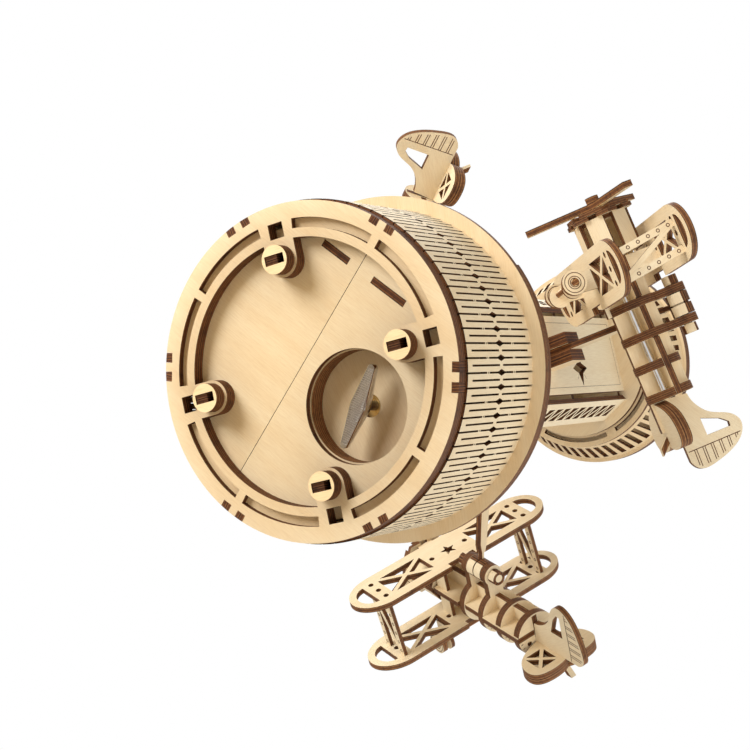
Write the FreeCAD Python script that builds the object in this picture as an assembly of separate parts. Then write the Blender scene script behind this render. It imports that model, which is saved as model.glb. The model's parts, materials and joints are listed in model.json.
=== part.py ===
import FreeCAD, Part
import math
import os

os.makedirs("parts", exist_ok=True)

V = FreeCAD.Vector
UP = V(0, 0, 1)

# Wind-up music box of laser-cut plywood: a drum with the movement inside, and on it
# a slowly turning tower that carries three small biplanes on arms.
# The origin is on the drum's axis, in the plane that the feet stand on, +Z up.

# ---- stock and fits ----
sheet = 2.2             # thickness of the plywood
thin = 1.5              # thickness of the plywood of the biplanes' ribs and engines
slot_fit = 0.08         # clearance on each side of a tab in its slot
run_fit = 0.05          # radial clearance of a shaft in its bearing
free = 0.25             # gap between faces that pass each other

# ---- drum ----
base_radius = 52.0      # the drum's other radii are set off from this one
ring_bore = base_radius - 11.0      # radius of the hole in the two base rings
slot_inner = base_radius - 8.2      # arc slots in the lower ring
slot_outer = base_radius - 5.1
slot_from_foot = 7.6    # degrees from a foot to the near end of an arc slot
slot_bridge = 1.8       # degrees of half the bridge between two arc slots
foot_count = 4
foot_turn = -15.0       # degrees, first foot
foot_circle = base_radius - 17.0
foot_radius = 4.5
lobe_window_half = 2.6
lobe_bar = 2.8          # width of the bars beside the lobe's window
lobe_radius = lobe_window_half + lobe_bar
lobe_window_inner = base_radius - 10.2
lobe_window_outer = base_radius - 5.4
socket_length = 6.8     # opening in each foot, as wide as a drum rib is thick
foot_peg = 4.3          # length of the peg that fills the socket's inner end
peg_recess = 0.3
skirt_height = 45.75
skirt_radius = base_radius + 0.7
rib_thickness = 3.0
rib_pair_half = 2.98    # half the distance between the two ribs of a pair
rib_count = 6
notch_depth = 2.4
rib_inner = base_radius - 6.0
flange_radius = base_radius + 5.1

# ---- key recess and floor of the drum ----
key_turn = 33.0         # degrees, direction from the drum's axis to the key
seam_offset = -4.24     # place of the floor's seam along that direction
seam_gap = 0.2
panel_radius = base_radius - 6.6
recess_radius = 17.6
recess_ledge = 0.5      # the wall round the recess stands in from the floor's hole by this
recess_wall_width = 2.6
recess_sheets = 3
shaft_hole = 3.6
wall_offset = 17.4 - base_radius    # upright inner wall, across the key's direction
wall_tabs = [(-19.0, -8.3), (1.6, 14.8)]
wall_half = 24.0

# ---- movement ----
tooth_module = 0.8
fly_module = 0.5
barrel_teeth = 24
drive_teeth = 22
pinion_teeth = 12
wheel_teeth = 32
pressure_angle = 25.0
addendum = 0.85         # tooth height outside the pitch circle, in modules
dedendum = 1.15
backlash = 0.16         # thinning of each tooth at the pitch circle
gear_width = 2.8
wheel_width = 1.4
fly_pinion_width = 2.6
bedplate_thickness = 1.4
barrel_radius = 9.0
barrel_height = 9.0
barrel_wall = 0.8
spring_thickness = 0.4
spring_start = 0.9      # from the arbor to the spring's first turn
spring_growth = 0.45    # the spring's radius grows by this in each half turn
spring_half_turns = 11
arbor_radius = 1.5
axle_radius = 2.0
fly_direction = 150.0   # degrees from the key's direction, from the wheel to the fly
wheel_shaft = 0.9
fly_blade = 4.6         # reach of the fly's blades from its shaft
fly_blade_half = 0.3
fly_blade_height = 3.4
fly_blade_rise = 3.4    # above the underside of the governor's wheel
comb_teeth = 18
comb_first = 8.0        # distance of the first tooth from the axis
comb_pitch = 0.95
tooth_length = 17.0
comb_thickness = 0.8
pin_height = 1.9
pin_gap = 0.3           # pins pass the comb's tips by this much
tune_pin = 0.3          # radius of a pin on the tune disc
pins_per_row = 3
disc_radius = 27.0
disc_thickness = 1.5
disc_hub = 4.0
disc_hub_height = 3.0
barrel_rise = 0.8       # heights of the moving parts above what is under them
bridge_gap = 0.6
wheel_rise = 2.0
drive_rise = 0.1

# ---- turntable and tower ----
turntable_radius = base_radius + 4.4
turntable_notch = 4.0
notch_angle = 30.0      # degrees that each of the turntable's three notches spans
notch_turn = -53.0
upper_disc_radius = base_radius - 2.0
bush_height = 1.6
tower_sides = 3
third = 360.0 / tower_sides
axle_rise = 40.0        # how far the axle reaches up inside the tower
frame_bore = 8.0
tower_height = 154.1
face_turn = -15.4       # degrees, outward direction of the first broad panel
face_apothem = 18.3
face_half = 15.2
edge_apothem = 25.4
edge_half = 6.5
cell_pitch = 7.7
cell_width = 6.5
cell_bar = 1.3
emblem_drop = 41.2      # from the tower's top down to the middle of the star window
emblem_side = 5.3       # and across from the middle of the panel
emblem_radius = 7.0
star_waist = 0.42       # a star's inner radius as a share of its outer one

# ---- cab on top ----
cab_floor_radius = 29.5
cab_ring_radius = 34.2
cab_ring_bore = 12.0
cab_slot_inner = 30.4
cab_slot_outer = 32.2
cab_slot_count = 6
cab_slot_bridge = 4.0   # degrees of half the bridge between two slots
cab_rim_radius = 41.4
cab_rim_bore = 37.6
cab_wall_height = 14.5
cab_wall_inset = 1.2
cab_slits = 60
slit_width = 2.2
slit_margin = 1.8
roof_step = 9.0
finial_radius = 8.0
knob_radius = 3.4
knob_height = 5.0

# ---- arms ----
arm_root = 24.0         # from the tower's axis to the point that the arm leans about
arm_height = 139.2      # height of the biplanes' pivots
root_height = 145.4     # height of the arm's middle in its bracket
arm_lean = [-5.0, -16.9, -11.0]     # degrees that each arm stands off square to its panel
arm_reach = [51.2, 52.6, 51.8]      # from the root point to the pivot
arm_depth_root = 9.0
arm_depth_tip = 5.0
bracket_height = 12.0
bracket_reach = 30.4
arm_embed = 4.0         # the arms and brackets start this far inside the panel
arm_nose = 3.0
arm_gap = 2.0           # from the arm's end to the pivot block
peg_radius = 1.1
peg_embed = 4.0
peg_gap = 0.5           # from the peg's end to the pivot's pin

# ---- biplane, in its own frame: x forwards, y to its left, z up, origin on its pivot pin ----
wing_half = 45.6
wing_chord = 20.3
tip_length = 13.0
upper_wing = (21.1, -1.6)       # x and z of the middle of the wing
lower_wing = (18.1, -27.3)
window_inner = 10.7             # cross-braced window, from the middle of the span
window_outer = 30.5
window_half = 5.9
brace = 1.6
dots_at = 33.6
dot_pitch = 5.1
dot_radius = 1.05
tip_window_at = 37.0
tip_window_length = 5.6
inner_dot_at = 8.0
star_radius = 3.4
wing_step_half = 6.0
wing_step_depth = 2.4
strut_at = 33.9
strut_front = 3.7
strut_rear = -5.7
strut_width = 2.6
strut_brace = 1.8
cabane_at = 6.4
cabane_width = 6.0
pin_radius = 1.5
block_radius = 4.0
groove_half = 0.3
groove_depth = 0.8
pin_cap = 3.2
cap_radius = 2.7
lobe_height = 4.0
rib_neck = 3.2
rib_stations = [5.8, -5.8, -16.5, -27.2]
rib_radius = 8.5
rib_centre = -16.3
rib_bottom = -25.8
deck_height = -15.3
deck_front = 26.5
deck_shoulder = 22.9    # ahead of this the deck is narrow, to fit into the engine
deck_rear = -28.7
deck_neck_half = 7.0
deck_half_front = 9.1   # a little more than the ribs' radius, so its edge runs on past them
deck_half_rear = 8.8
deck_relief = (7.6, 8.0)        # half length and half width where the arm passes the deck
keel_front = 24.0
keel_rear = -39.5
keel_bottom = -24.5
keel_top = -8.5
keel_middle = 4.5       # ahead of this the keel stands on the lower wing
engine_height = -14.5
engine_radius = 9.5
engine_front = 38.5
engine_back = 24.0
stave_width = 6.6
stave_count = 6
engine_rim = 1.2        # the toothed front stands out from the staves by this
tooth_gap_half = 1.6
tooth_gap_depth = 1.4
propeller_radius = 26.0
blade_count = 3
blade_width = 3.4
propeller_at = 42.4
propeller_shaft = 1.1
propeller_hub = 3.0
propeller_cap = 2.4
shaft_inside = 3.0      # length of the propeller's shaft inside the engine
rod_radius = 1.0
rod_side = 4.0
rod_height = -18.8
rod_proud = 2.0         # how far the rod stands out in front of the first rib
wheel_x = 19.8
wheel_y = 14.0
wheel_z = -36.2
wheel_radius = 4.3
wheel_axle = 1.2
leg_at = 10.6
leg_radius = 3.9
leg_set = -1.0          # middle of the leg's round foot, from the wheel's axle
leg_top = (-4.4, 3.0)   # rear and front edges at the wing, from the wheel's axle
leg_low = (-3.6, 2.8)
tail_front = -28.9
tail_top = -19.1
tailplane = [(0.0, 0.0), (-2.5, 8.0), (-8.0, 14.4), (-15.0, 14.4), (-17.5, 8.0), (-16.0, 0.0)]
tail_window = (-14.0, -5.0, 2.6, 11.0)      # rear, front and inner, outer edges
tail_brace = 1.4
fin_back = [(-0.8, 8.3), (-5.6, 9.7), (-9.8, 13.4), (-13.4, 20.4), (-16.6, 22.4),
            (-20.4, 21.4), (-24.5, 16.2), (-26.9, 8.5), (-27.2, 3.4), (-23.5, 0.0)]
fin_foot = [(-23.5, 0.0), (0.0, 0.0), (-0.8, 8.3)]
fin_window = [(-10.6, 9.2), (-13.2, 15.8), (-15.4, 18.4), (-17.1, 18.2), (-17.0, 9.2)]
skid_at = -12.0         # from the tail's front edge
skid_slope = 3.5
skid_drop = 3.6
skid_width = 2.6

# Each biplane: heading (1 anticlockwise round the tower, -1 clockwise), how its pin stands
# on the arm, in degrees (turned about the upright, rocked about the arm, banked), and how
# its propeller stands.
planes = {
    "a": (-1, -3.0, 6.53, -54.6, 13.0),
    "b": (1, 15.77, 25.35, 238.41, -30.0),
    "c": (-1, 0.46, -11.99, -136.8, 13.0),
}

# ---- heights that follow from the sizes above ----
ring_z = 2 * sheet
ring_mid = ring_z + sheet
ring_top = ring_mid + sheet
floor_top = ring_top + sheet
tray_z = floor_top + recess_sheets * sheet
tray_top = tray_z + sheet
bed_top = tray_top + bedplate_thickness
flange_z = ring_top + skirt_height
flange_top = flange_z + sheet
turntable_z = flange_top + bush_height + run_fit
tower_z = turntable_z + 2 * sheet
tower_top = tower_z + tower_height
barrel_z = bed_top + barrel_rise
gear_z = barrel_z + barrel_height
gear_top = gear_z + gear_width
bridge_z = gear_top + bridge_gap
bridge_top = bridge_z + bedplate_thickness
comb_z = bridge_top
pins_z = comb_z + comb_thickness + pin_gap
disc_z = pins_z + pin_height
wheel_z_low = bed_top + wheel_rise


# ---------------------------------------------------------------- helpers
def save(name, *solids):
    shape = solids[0] if len(solids) == 1 else Part.makeCompound(list(solids))
    shape.exportStep("parts/" + name + ".step")


def disc(radius, z, height, x=0.0, y=0.0):
    return Part.makeCylinder(radius, height, V(x, y, z))


def ring(outer, inner, z, height, x=0.0, y=0.0):
    return disc(outer, z, height, x, y).cut(disc(inner, z - 1, height + 2, x, y))


def block(x0, x1, y0, y1, z0, z1):
    return Part.makeBox(x1 - x0, y1 - y0, z1 - z0, V(x0, y0, z0))


def turned(shape, angle, centre=V(0, 0, 0), axis=UP):
    copy = shape.copy()
    copy.rotate(centre, axis, angle)
    return copy


def moved(shape, x, y, z):
    copy = shape.copy()
    copy.translate(V(x, y, z))
    return copy


def sector(inner, outer, start, end, z, height):
    """A piece of a ring between two angles, in degrees."""
    wedge = Part.makeCylinder(outer, height, V(0, 0, z), UP, end - start)
    wedge = wedge.cut(disc(inner, z - 1, height + 2))
    return turned(wedge, start)


def polygon(points, height, z=0.0):
    """A flat plate with straight edges."""
    loop = [V(x, y, z) for x, y in points]
    wire = Part.makePolygon(loop + loop[:1])
    return Part.Face(wire).extrude(V(0, 0, height))


def bar(start, end, width, height, z=0.0):
    """A straight bar with square ends between two points in plan."""
    length = math.hypot(end[0] - start[0], end[1] - start[1])
    angle = math.degrees(math.atan2(end[1] - start[1], end[0] - start[0]))
    piece = block(0, length, -width / 2, width / 2, z, z + height)
    return moved(turned(piece, angle), start[0], start[1], 0)


def strap(points, width, height, z=0.0):
    """Round-ended bars along a chain of points, as one plate."""
    plate = disc(width / 2, z, height, *points[0])
    for start, end in zip(points, points[1:]):
        plate = plate.fuse(bar(start, end, width, height, z))
        plate = plate.fuse(disc(width / 2, z, height, *end))
    return plate.removeSplitter()


def upright_plate(points, width):
    """A plate standing in the x-z plane, centred on y = 0."""
    loop = [V(x, -width / 2, z) for x, z in points]
    return Part.Face(Part.makePolygon(loop + loop[:1])).extrude(V(0, width, 0))


def star(points, outer, height, z=0.0, turn=90.0):
    corners = []
    for i in range(2 * points):
        radius = outer if i % 2 == 0 else outer * star_waist
        angle = math.radians(turn + 180.0 * i / points)
        corners.append((radius * math.cos(angle), radius * math.sin(angle)))
    return polygon(corners, height, z)


def cut_all(shape, tools):
    return shape.cut(tools[0].multiFuse(tools[1:]) if len(tools) > 1 else tools[0])


# ---------------------------------------------------------------- gears
def gear(teeth, module, width, z, x, y, turn, bore):
    """A spur gear with involute flanks. turn is the direction of one tooth, in degrees."""
    pitch = module * teeth / 2
    base = pitch * math.cos(math.radians(pressure_angle))
    tip = pitch + addendum * module
    root = pitch - dedendum * module
    half_tooth = (math.pi * module / 2 - backlash) / 2 / pitch
    steps = 5

    def involute(radius):
        if radius <= base:
            return 0.0
        roll = math.sqrt((radius / base) ** 2 - 1)
        return roll - math.atan(roll)

    def half_angle(radius):
        return half_tooth + involute(pitch) - involute(radius)

    start = max(base, root)
    radii = [root] if root < base else []
    radii += [start + (tip - start) * i / (steps - 1) for i in range(steps)]
    points = []
    for tooth in range(teeth):
        middle = math.radians(turn) + 2 * math.pi * tooth / teeth
        right = [(r, middle - half_angle(r)) for r in radii]
        left = [(r, middle + half_angle(r)) for r in reversed(radii)]
        points += [(x + r * math.cos(a), y + r * math.sin(a)) for r, a in right + left]
    body = polygon(points, width, z)
    return body.cut(disc(bore, z - 1, width + 2, x, y))


def meshing_turn(driver_teeth, driver_turn, direction, teeth):
    """Direction of a tooth of the driven gear, so that its gaps take the driver's teeth."""
    part = (direction - driver_turn) / (360.0 / driver_teeth)
    part -= math.floor(part)
    pitch = 360.0 / teeth
    return direction + 180.0 + part * pitch + pitch / 2


def from_key(along, across):
    """Plan position from distances along and across the key's direction."""
    angle = math.radians(key_turn)
    x = along * math.cos(angle) - across * math.sin(angle)
    y = along * math.sin(angle) + across * math.cos(angle)
    return x, y


key_distance = tooth_module * (barrel_teeth + drive_teeth) / 2
wheel_distance = tooth_module * (drive_teeth + pinion_teeth) / 2
fly_distance = fly_module * (wheel_teeth + pinion_teeth) / 2
key_at = from_key(key_distance, 0)
wheel_at = from_key(0, wheel_distance)
fly_angle = math.radians(fly_direction)
fly_at = from_key(
    fly_distance * math.cos(fly_angle), wheel_distance + fly_distance * math.sin(fly_angle)
)


# ---------------------------------------------------------------- drum
def foot_positions():
    for i in range(foot_count):
        yield foot_turn + 360.0 * i / foot_count


def base_ring(z, arc_slots):
    body = ring(base_radius, ring_bore, z, sheet)
    cuts = []
    for angle in foot_positions():
        lobe = disc(lobe_radius, z, sheet, foot_circle, 0)
        lobe = lobe.fuse(block(foot_circle, ring_bore + 2, -lobe_radius, lobe_radius, z, z + sheet))
        body = body.fuse(turned(lobe, angle))
        window = block(lobe_window_inner, lobe_window_outer, -lobe_window_half,
                       lobe_window_half, z - 1, z + sheet + 1)
        cuts.append(turned(window, angle))
        cuts.append(foot_box(angle, socket_length, z - 1, z + sheet + 1, slot_fit))
        if arc_slots:
            step = 360.0 / foot_count
            near = (slot_from_foot, step / 2 - slot_bridge)
            far = (step / 2 + slot_bridge, step - slot_from_foot)
            for start, end in (near, far):
                cuts.append(sector(slot_inner, slot_outer, angle + start, angle + end,
                                   z - 1, sheet + 2))
    for angle, side in rib_places():
        notch = rib_box(base_radius - notch_depth, base_radius + 1, z - 1, z + sheet + 1, side,
                        slot_fit)
        cuts.append(turned(notch, angle))
    return cut_all(body, cuts).removeSplitter()


def foot_place(angle):
    way = math.radians(angle)
    return foot_circle * math.cos(way), foot_circle * math.sin(way)


def foot_box(angle, length, z0, z1, gap=0.0):
    """From the end of a foot's socket; all the sockets point the same way."""
    start = -socket_length / 2
    half = rib_thickness / 2 + gap
    box = turned(block(start - gap, start + length + gap, -half, half, z0, z1), foot_turn)
    return moved(box, *foot_place(angle), 0)


def feet():
    solids = []
    for angle in foot_positions():
        pad = disc(foot_radius, 0, ring_z, *foot_place(angle))
        solids.append(pad.cut(foot_box(angle, socket_length, -1, ring_z + 1)))
        solids.append(foot_box(angle, foot_peg, peg_recess, ring_top))
    return solids


def rib_places():
    for i in range(rib_count):
        for side in (-1, 1):
            yield 360.0 * i / rib_count, side


def rib_box(r0, r1, z0, z1, side, gap=0.0):
    half = rib_thickness / 2 + gap
    middle = side * rib_pair_half
    return block(r0, r1, middle - half, middle + half, z0, z1)


def drum_ribs():
    solids = []
    skirt_bore = skirt_radius - sheet
    bound = disc(skirt_bore - slot_fit, ring_top, skirt_height)
    tab_bound = disc(base_radius, ring_z, 2 * sheet)
    for angle, side in rib_places():
        upright = rib_box(rib_inner, base_radius, ring_top, flange_z, side).common(bound)
        tab = rib_box(base_radius - notch_depth, base_radius + 1, ring_z, ring_top, side)
        solids.append(turned(upright.fuse(tab.common(tab_bound)), angle))
    return solids


def recess_cut(z, height, radius=recess_radius):
    return disc(radius, z - 1, height + 2, *key_at)


def base_panels():
    floor = disc(panel_radius, ring_top, sheet)
    tools = [recess_cut(ring_top, sheet)]
    tools += [wall_tab(span, ring_top - 1, floor_top + 1, slot_fit) for span in wall_tabs]
    floor = cut_all(floor, tools)
    halves = []
    reach = 2 * panel_radius
    for low, high in ((-reach, seam_offset - seam_gap / 2), (seam_offset + seam_gap / 2, reach)):
        half = block(low, high, -reach, reach, ring_top - 1, floor_top + 1)
        halves.append(floor.common(turned(half, key_turn)))
    return halves


def wall_tab(span, z0, z1, gap=0.0):
    half = sheet / 2 + gap
    tab = block(span[0] - gap, span[1] + gap, wall_offset - half, wall_offset + half, z0, z1)
    return turned(tab, key_turn)


def inner_wall():
    wall = turned(block(-wall_half, wall_half, wall_offset - sheet / 2, wall_offset + sheet / 2,
                        floor_top, flange_z), key_turn)
    for span in wall_tabs:
        wall = wall.fuse(wall_tab(span, ring_top, floor_top))
    return wall.removeSplitter()


tray_low = wall_offset + 4.6        # edges of the movement's tray across the key's direction
tray_high = base_radius - 26.0
tray_radius = base_radius - 11.0
spacer_radius = 4.0
spacer_back = wall_offset + 8.6
spacer_side = 18.0
spacer_front = 8.0
spacers = [
    from_key(spacer_back, -spacer_side),
    from_key(spacer_back, spacer_side),
    from_key(spacer_front, spacer_back),
]


def tray_supports():
    wall = ring(recess_radius + recess_wall_width, recess_radius - recess_ledge, floor_top,
                tray_z - floor_top, *key_at)
    solids = [wall]
    solids += [disc(spacer_radius, floor_top, tray_z - floor_top, *at) for at in spacers]
    return solids


def movement_tray():
    plate = disc(tray_radius, tray_z, sheet)
    band = block(-tray_radius, tray_radius, tray_low, tray_high, tray_z - 1, tray_top + 1)
    plate = plate.common(turned(band, key_turn))
    return plate.cut(disc(shaft_hole, tray_z - 1, sheet + 2, *key_at))


def skirt():
    return ring(skirt_radius, skirt_radius - sheet, ring_top, skirt_height)


bush_radius = 5.0
bush_collar = 9.0


def flange_plate():
    return ring(flange_radius, bush_radius, flange_z, sheet)


def axle_bush():
    body = disc(bush_radius, flange_z, sheet).fuse(disc(bush_collar, flange_top, bush_height))
    return body.cut(disc(axle_radius + run_fit, flange_z - 1, sheet + bush_height + 2))


save("base_ring_lower", base_ring(ring_z, True))
save("base_ring_upper", base_ring(ring_mid, False))
save("feet", *feet())
save("drum_ribs", *drum_ribs())
save("base_panels", *base_panels())
save("inner_wall", inner_wall())
save("tray_supports", *tray_supports())
save("movement_tray", movement_tray())
save("skirt", skirt())
save("flange_plate", flange_plate())
save("axle_bush", axle_bush())

# ---------------------------------------------------------------- movement
comb_along = -tooth_length
comb_width = (comb_teeth - 1) * comb_pitch
comb_margin = 1.0       # from the middle of the last tooth to the bar's end
comb_near = -comb_first + comb_margin
comb_far = -comb_first - comb_width - comb_margin
comb_bar = 10.5         # reaches back, so that the screws stand clear of the tune disc's pins
comb_root = 0.5
comb_tooth_half = 0.3
comb_screw_back = 2.6   # from the bar's rear edge to the screws
comb_screw_side = 4.0
pillar_radius = 1.8
bed_margin = 2.5        # plates reach past the pillars by this
branch_margin = 1.5
bridge_margin = 0.8
pillars = [
    from_key(base_radius - 20.5, 0),
    from_key(18.4, 15.5),
    from_key(-13.5, -2.0),
    from_key(-17.5, 22.0),
]
screw_radius = 1.1
screw_head = 1.9
screw_length = 3.5
screw_hole = 4.0
head_height = 0.7


def frame_plate(z, margin, branches):
    """A plate with bearing holes: one strap through all the shafts, and three branches."""
    width = 2 * (pillar_radius + margin)
    spine = [pillars[0], key_at, (0, 0), wheel_at, pillars[3]]
    plate = strap(spine, width, bedplate_thickness, z)
    width = 2 * (pillar_radius + branches)
    for ends in ([key_at, pillars[1]], [(0, 0), pillars[2]], [wheel_at, fly_at]):
        plate = plate.fuse(strap(ends, width, bedplate_thickness, z))
    holes = [disc(radius, z - 1, bedplate_thickness + 2, *at) for radius, at in journals()]
    return cut_all(plate.removeSplitter(), holes)


def bedplate():
    return frame_plate(tray_top, bed_margin, branch_margin)


def journals():
    """Radius and place of each bearing hole in the bedplate and the bridge."""
    yield arbor_radius + run_fit, key_at
    yield axle_radius + run_fit, (0, 0)
    yield wheel_shaft + run_fit, wheel_at
    yield wheel_shaft + run_fit, fly_at


def bridge():
    plate = frame_plate(bridge_z, bridge_margin, bridge_margin)
    return cut_all(plate, [disc(screw_radius, bridge_z - 1, bedplate_thickness + 2, *at)
                           for at in pillars])


def movement_pillars():
    solids = []
    for at in pillars:
        post = disc(pillar_radius, bed_top, bridge_z - bed_top, *at)
        solids.append(post.cut(disc(screw_radius, bridge_z - screw_hole, screw_hole + 1, *at)))
    return solids


def comb_outline(along0, along1, across0, across1, z0, z1):
    return turned(block(along0, along1, across0, across1, z0, z1), key_turn)


def comb_screws():
    along = comb_along - comb_bar + comb_screw_back
    return [from_key(along, comb_near - comb_screw_side), from_key(along, comb_far + comb_screw_side)]


def comb():
    body = comb_outline(comb_along - comb_bar, comb_along, comb_far, comb_near, comb_z,
                        comb_z + comb_thickness)
    for i in range(comb_teeth):
        at = -comb_first - i * comb_pitch
        tooth = comb_outline(comb_along - comb_root, 0.0, at - comb_tooth_half,
                             at + comb_tooth_half, comb_z, comb_z + comb_thickness)
        body = body.fuse(tooth)
    holes = [disc(screw_radius, comb_z - 1, 3, *at) for at in comb_screws()]
    return cut_all(body.removeSplitter(), holes)


def comb_block():
    body = comb_outline(comb_along - comb_bar, comb_along, comb_far, comb_near, tray_top, comb_z)
    holes = [disc(screw_radius, comb_z - screw_hole, screw_hole + 1, *at) for at in comb_screws()]
    return cut_all(body, holes)


def screw(at, top):
    """A screw whose head sits on the height top."""
    thread = disc(screw_radius, top - screw_length, screw_length, *at)
    return thread.fuse(disc(screw_head, top, head_height, *at))


def movement_screws():
    solids = [screw(at, bridge_top) for at in pillars]
    return solids + [screw(at, comb_z + comb_thickness) for at in comb_screws()]


def shaft(radius, at, z0, z1):
    return disc(radius, z0, z1 - z0, *at)


drive_turn = key_turn
barrel_turn = meshing_turn(drive_teeth, drive_turn, key_turn, barrel_teeth)
wheel_turn = meshing_turn(drive_teeth, drive_turn, key_turn + 90, pinion_teeth)
fly_way = key_turn + fly_direction
fly_turn = meshing_turn(wheel_teeth, 0.0, fly_way, pinion_teeth)


def spring_barrel():
    bore = arbor_radius + run_fit
    drum = disc(barrel_radius, barrel_z, barrel_height, *key_at)
    drum = drum.cut(disc(barrel_radius - barrel_wall, barrel_z + barrel_wall,
                         barrel_height - 2 * barrel_wall, *key_at))
    drum = drum.cut(disc(bore, barrel_z - 1, barrel_height + 2, *key_at))
    teeth = gear(barrel_teeth, tooth_module, gear_width, gear_z, *key_at, barrel_turn, bore)
    return drum.fuse(teeth)


def spiral_side(start, growth, half_turns):
    """Half circles whose radius grows by one step at each half turn, as one open line."""
    edges = []
    left, right = -start, start
    for i in range(half_turns):
        if i % 2 == 0:
            left = right - 2 * (start + growth * (i + 0.5))
            low, high, bulge = left, right, 1
        else:
            right = left + 2 * (start + growth * (i + 0.5))
            low, high, bulge = left, right, -1
        middle = (low + high) / 2
        radius = (high - low) / 2
        ends = (V(high, 0, 0), V(low, 0, 0)) if bulge > 0 else (V(low, 0, 0), V(high, 0, 0))
        edges.append(Part.Arc(ends[0], V(middle, bulge * radius, 0), ends[1]).toShape())
    return edges


def mainspring():
    start = arbor_radius + spring_start
    inner = spiral_side(start, spring_growth, spring_half_turns)
    outer = spiral_side(start + spring_thickness, spring_growth, spring_half_turns)
    first = Part.makeLine(inner[0].Vertexes[0].Point, outer[0].Vertexes[0].Point)
    last = Part.makeLine(inner[-1].Vertexes[-1].Point, outer[-1].Vertexes[-1].Point)
    wire = Part.Wire(Part.__sortEdges__(inner + outer + [first, last]))
    height = barrel_height - 2 * barrel_wall
    coil = Part.Face(wire).extrude(V(0, 0, height))
    return moved(coil, key_at[0], key_at[1], barrel_z + barrel_wall)


def governor_wheel():
    body = shaft(wheel_shaft, wheel_at, tray_top + run_fit, bridge_top)
    pinion = gear(pinion_teeth, tooth_module, gear_width, gear_z, *wheel_at, wheel_turn,
                  wheel_shaft / 2)
    wheel = gear(wheel_teeth, fly_module, wheel_width, wheel_z_low, *wheel_at, 0.0,
                 wheel_shaft / 2)
    return body.fuse(pinion).fuse(wheel)


def governor_fly():
    body = shaft(wheel_shaft, fly_at, tray_top + run_fit, bridge_top)
    pinion_z = wheel_z_low - (fly_pinion_width - wheel_width) / 2
    pinion = gear(pinion_teeth, fly_module, fly_pinion_width, pinion_z, *fly_at, fly_turn,
                  wheel_shaft / 2)
    body = body.fuse(pinion)
    blade_z = wheel_z_low + fly_blade_rise
    for i in range(2):
        blade = block(-fly_blade, fly_blade, -fly_blade_half, fly_blade_half,
                      blade_z, blade_z + fly_blade_height)
        blade = moved(turned(blade, 90.0 * i + key_turn), fly_at[0], fly_at[1], 0)
        body = body.fuse(blade)
    return body


key_half = 13.7         # from the key's axis to the tips of its wing
key_widths = [(0.0, 5.6), (6.5, 4.0), (12.4, 2.6)]      # distance from the axis, width there
key_depth = 4.0
key_depth_tip = 2.4
key_raise = 0.6         # the wing's underside above the base rings
key_socket = 3.0
key_rest = -69.0        # degrees, direction of the key's wing at rest


def winding_key():
    """A leaf-shaped wing with round tips, thinner towards them, and a socket for the arbor."""
    bottom = ring_top + key_raise
    top = bottom + key_depth
    right = [(x, width / 2) for x, width in key_widths]
    left = [(-x, y) for x, y in reversed(right[1:])]
    outline = left + right
    outline += [(x, -y) for x, y in reversed(outline)]
    wing = polygon(outline, key_depth, bottom)
    last, tip_width = key_widths[-1]
    for x in (last, -last):
        wing = wing.fuse(disc(tip_width / 2, bottom, key_depth, x, 0))
    side = upright_plate([
        (-key_half, bottom), (key_half, bottom), (key_half, bottom + key_depth_tip),
        (arbor_radius, top), (-arbor_radius, top), (-key_half, bottom + key_depth_tip),
    ], 2 * key_half)
    wing = moved(turned(wing.common(side), key_rest), *key_at, 0)
    return wing.cut(disc(arbor_radius, top - key_socket, key_socket + 1, *key_at))


def key_arbor():
    bottom = ring_top + key_raise + key_depth - key_socket
    return disc(arbor_radius, bottom, bridge_top - bottom, *key_at)


save("movement_bedplate", bedplate())
save("movement_bridge", bridge())
save("movement_pillars", *movement_pillars())
save("comb", comb())
save("comb_block", comb_block())
save("movement_screws", *movement_screws())
save("governor_wheel", governor_wheel())
save("governor_fly", governor_fly())
save("spring_barrel", spring_barrel())
save("mainspring", mainspring())
save("winding_key", winding_key())
save("key_arbor", key_arbor())


# ---------------------------------------------------------------- turntable and tune disc
frame_levels = [0.0, 0.34, 0.68, 1.0]       # heights of the tower's frames, share of its own
axle_top = tower_z + axle_rise
tune_turns = (47.0, 131.0, 17.0)    # degrees: from row to row, pin to pin, and their product


def tune_disc():
    body = ring(disc_radius, axle_radius, disc_z, disc_thickness)
    body = body.fuse(ring(disc_hub, axle_radius, disc_z + disc_thickness, disc_hub_height))
    by_row, by_pin, by_both = tune_turns
    for i in range(comb_teeth):
        radius = comb_first + i * comb_pitch
        for j in range(pins_per_row):
            angle = math.radians(by_row * i + by_pin * j + by_both * i * j)
            x = radius * math.cos(angle)
            y = radius * math.sin(angle)
            body = body.fuse(disc(tune_pin, pins_z, pin_height, x, y))
    return body


def drive_gear():
    return gear(drive_teeth, tooth_module, gear_width, gear_z + drive_rise, 0, 0, drive_turn,
                axle_radius)


def turntable():
    lower = ring(turntable_radius, axle_radius, turntable_z, sheet)
    for i in range(tower_sides):
        middle = notch_turn + third * i
        notch = sector(turntable_radius - turntable_notch, turntable_radius + 2,
                       middle - notch_angle / 2, middle + notch_angle / 2,
                       turntable_z - 1, sheet + 2)
        lower = lower.cut(notch)
    upper = ring(upper_disc_radius, axle_radius, turntable_z + sheet, sheet)
    return [lower, upper]


save("carousel_axle", disc(axle_radius, tray_top + run_fit, axle_top - tray_top - run_fit))
save("drive_gear", drive_gear())
save("tune_disc", tune_disc())
save("turntable", *turntable())


# ---------------------------------------------------------------- tower
def around(shape, start=0.0):
    """Three copies of a shape, a third of a turn apart."""
    return [turned(shape, start + third * i) for i in range(tower_sides)]


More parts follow.
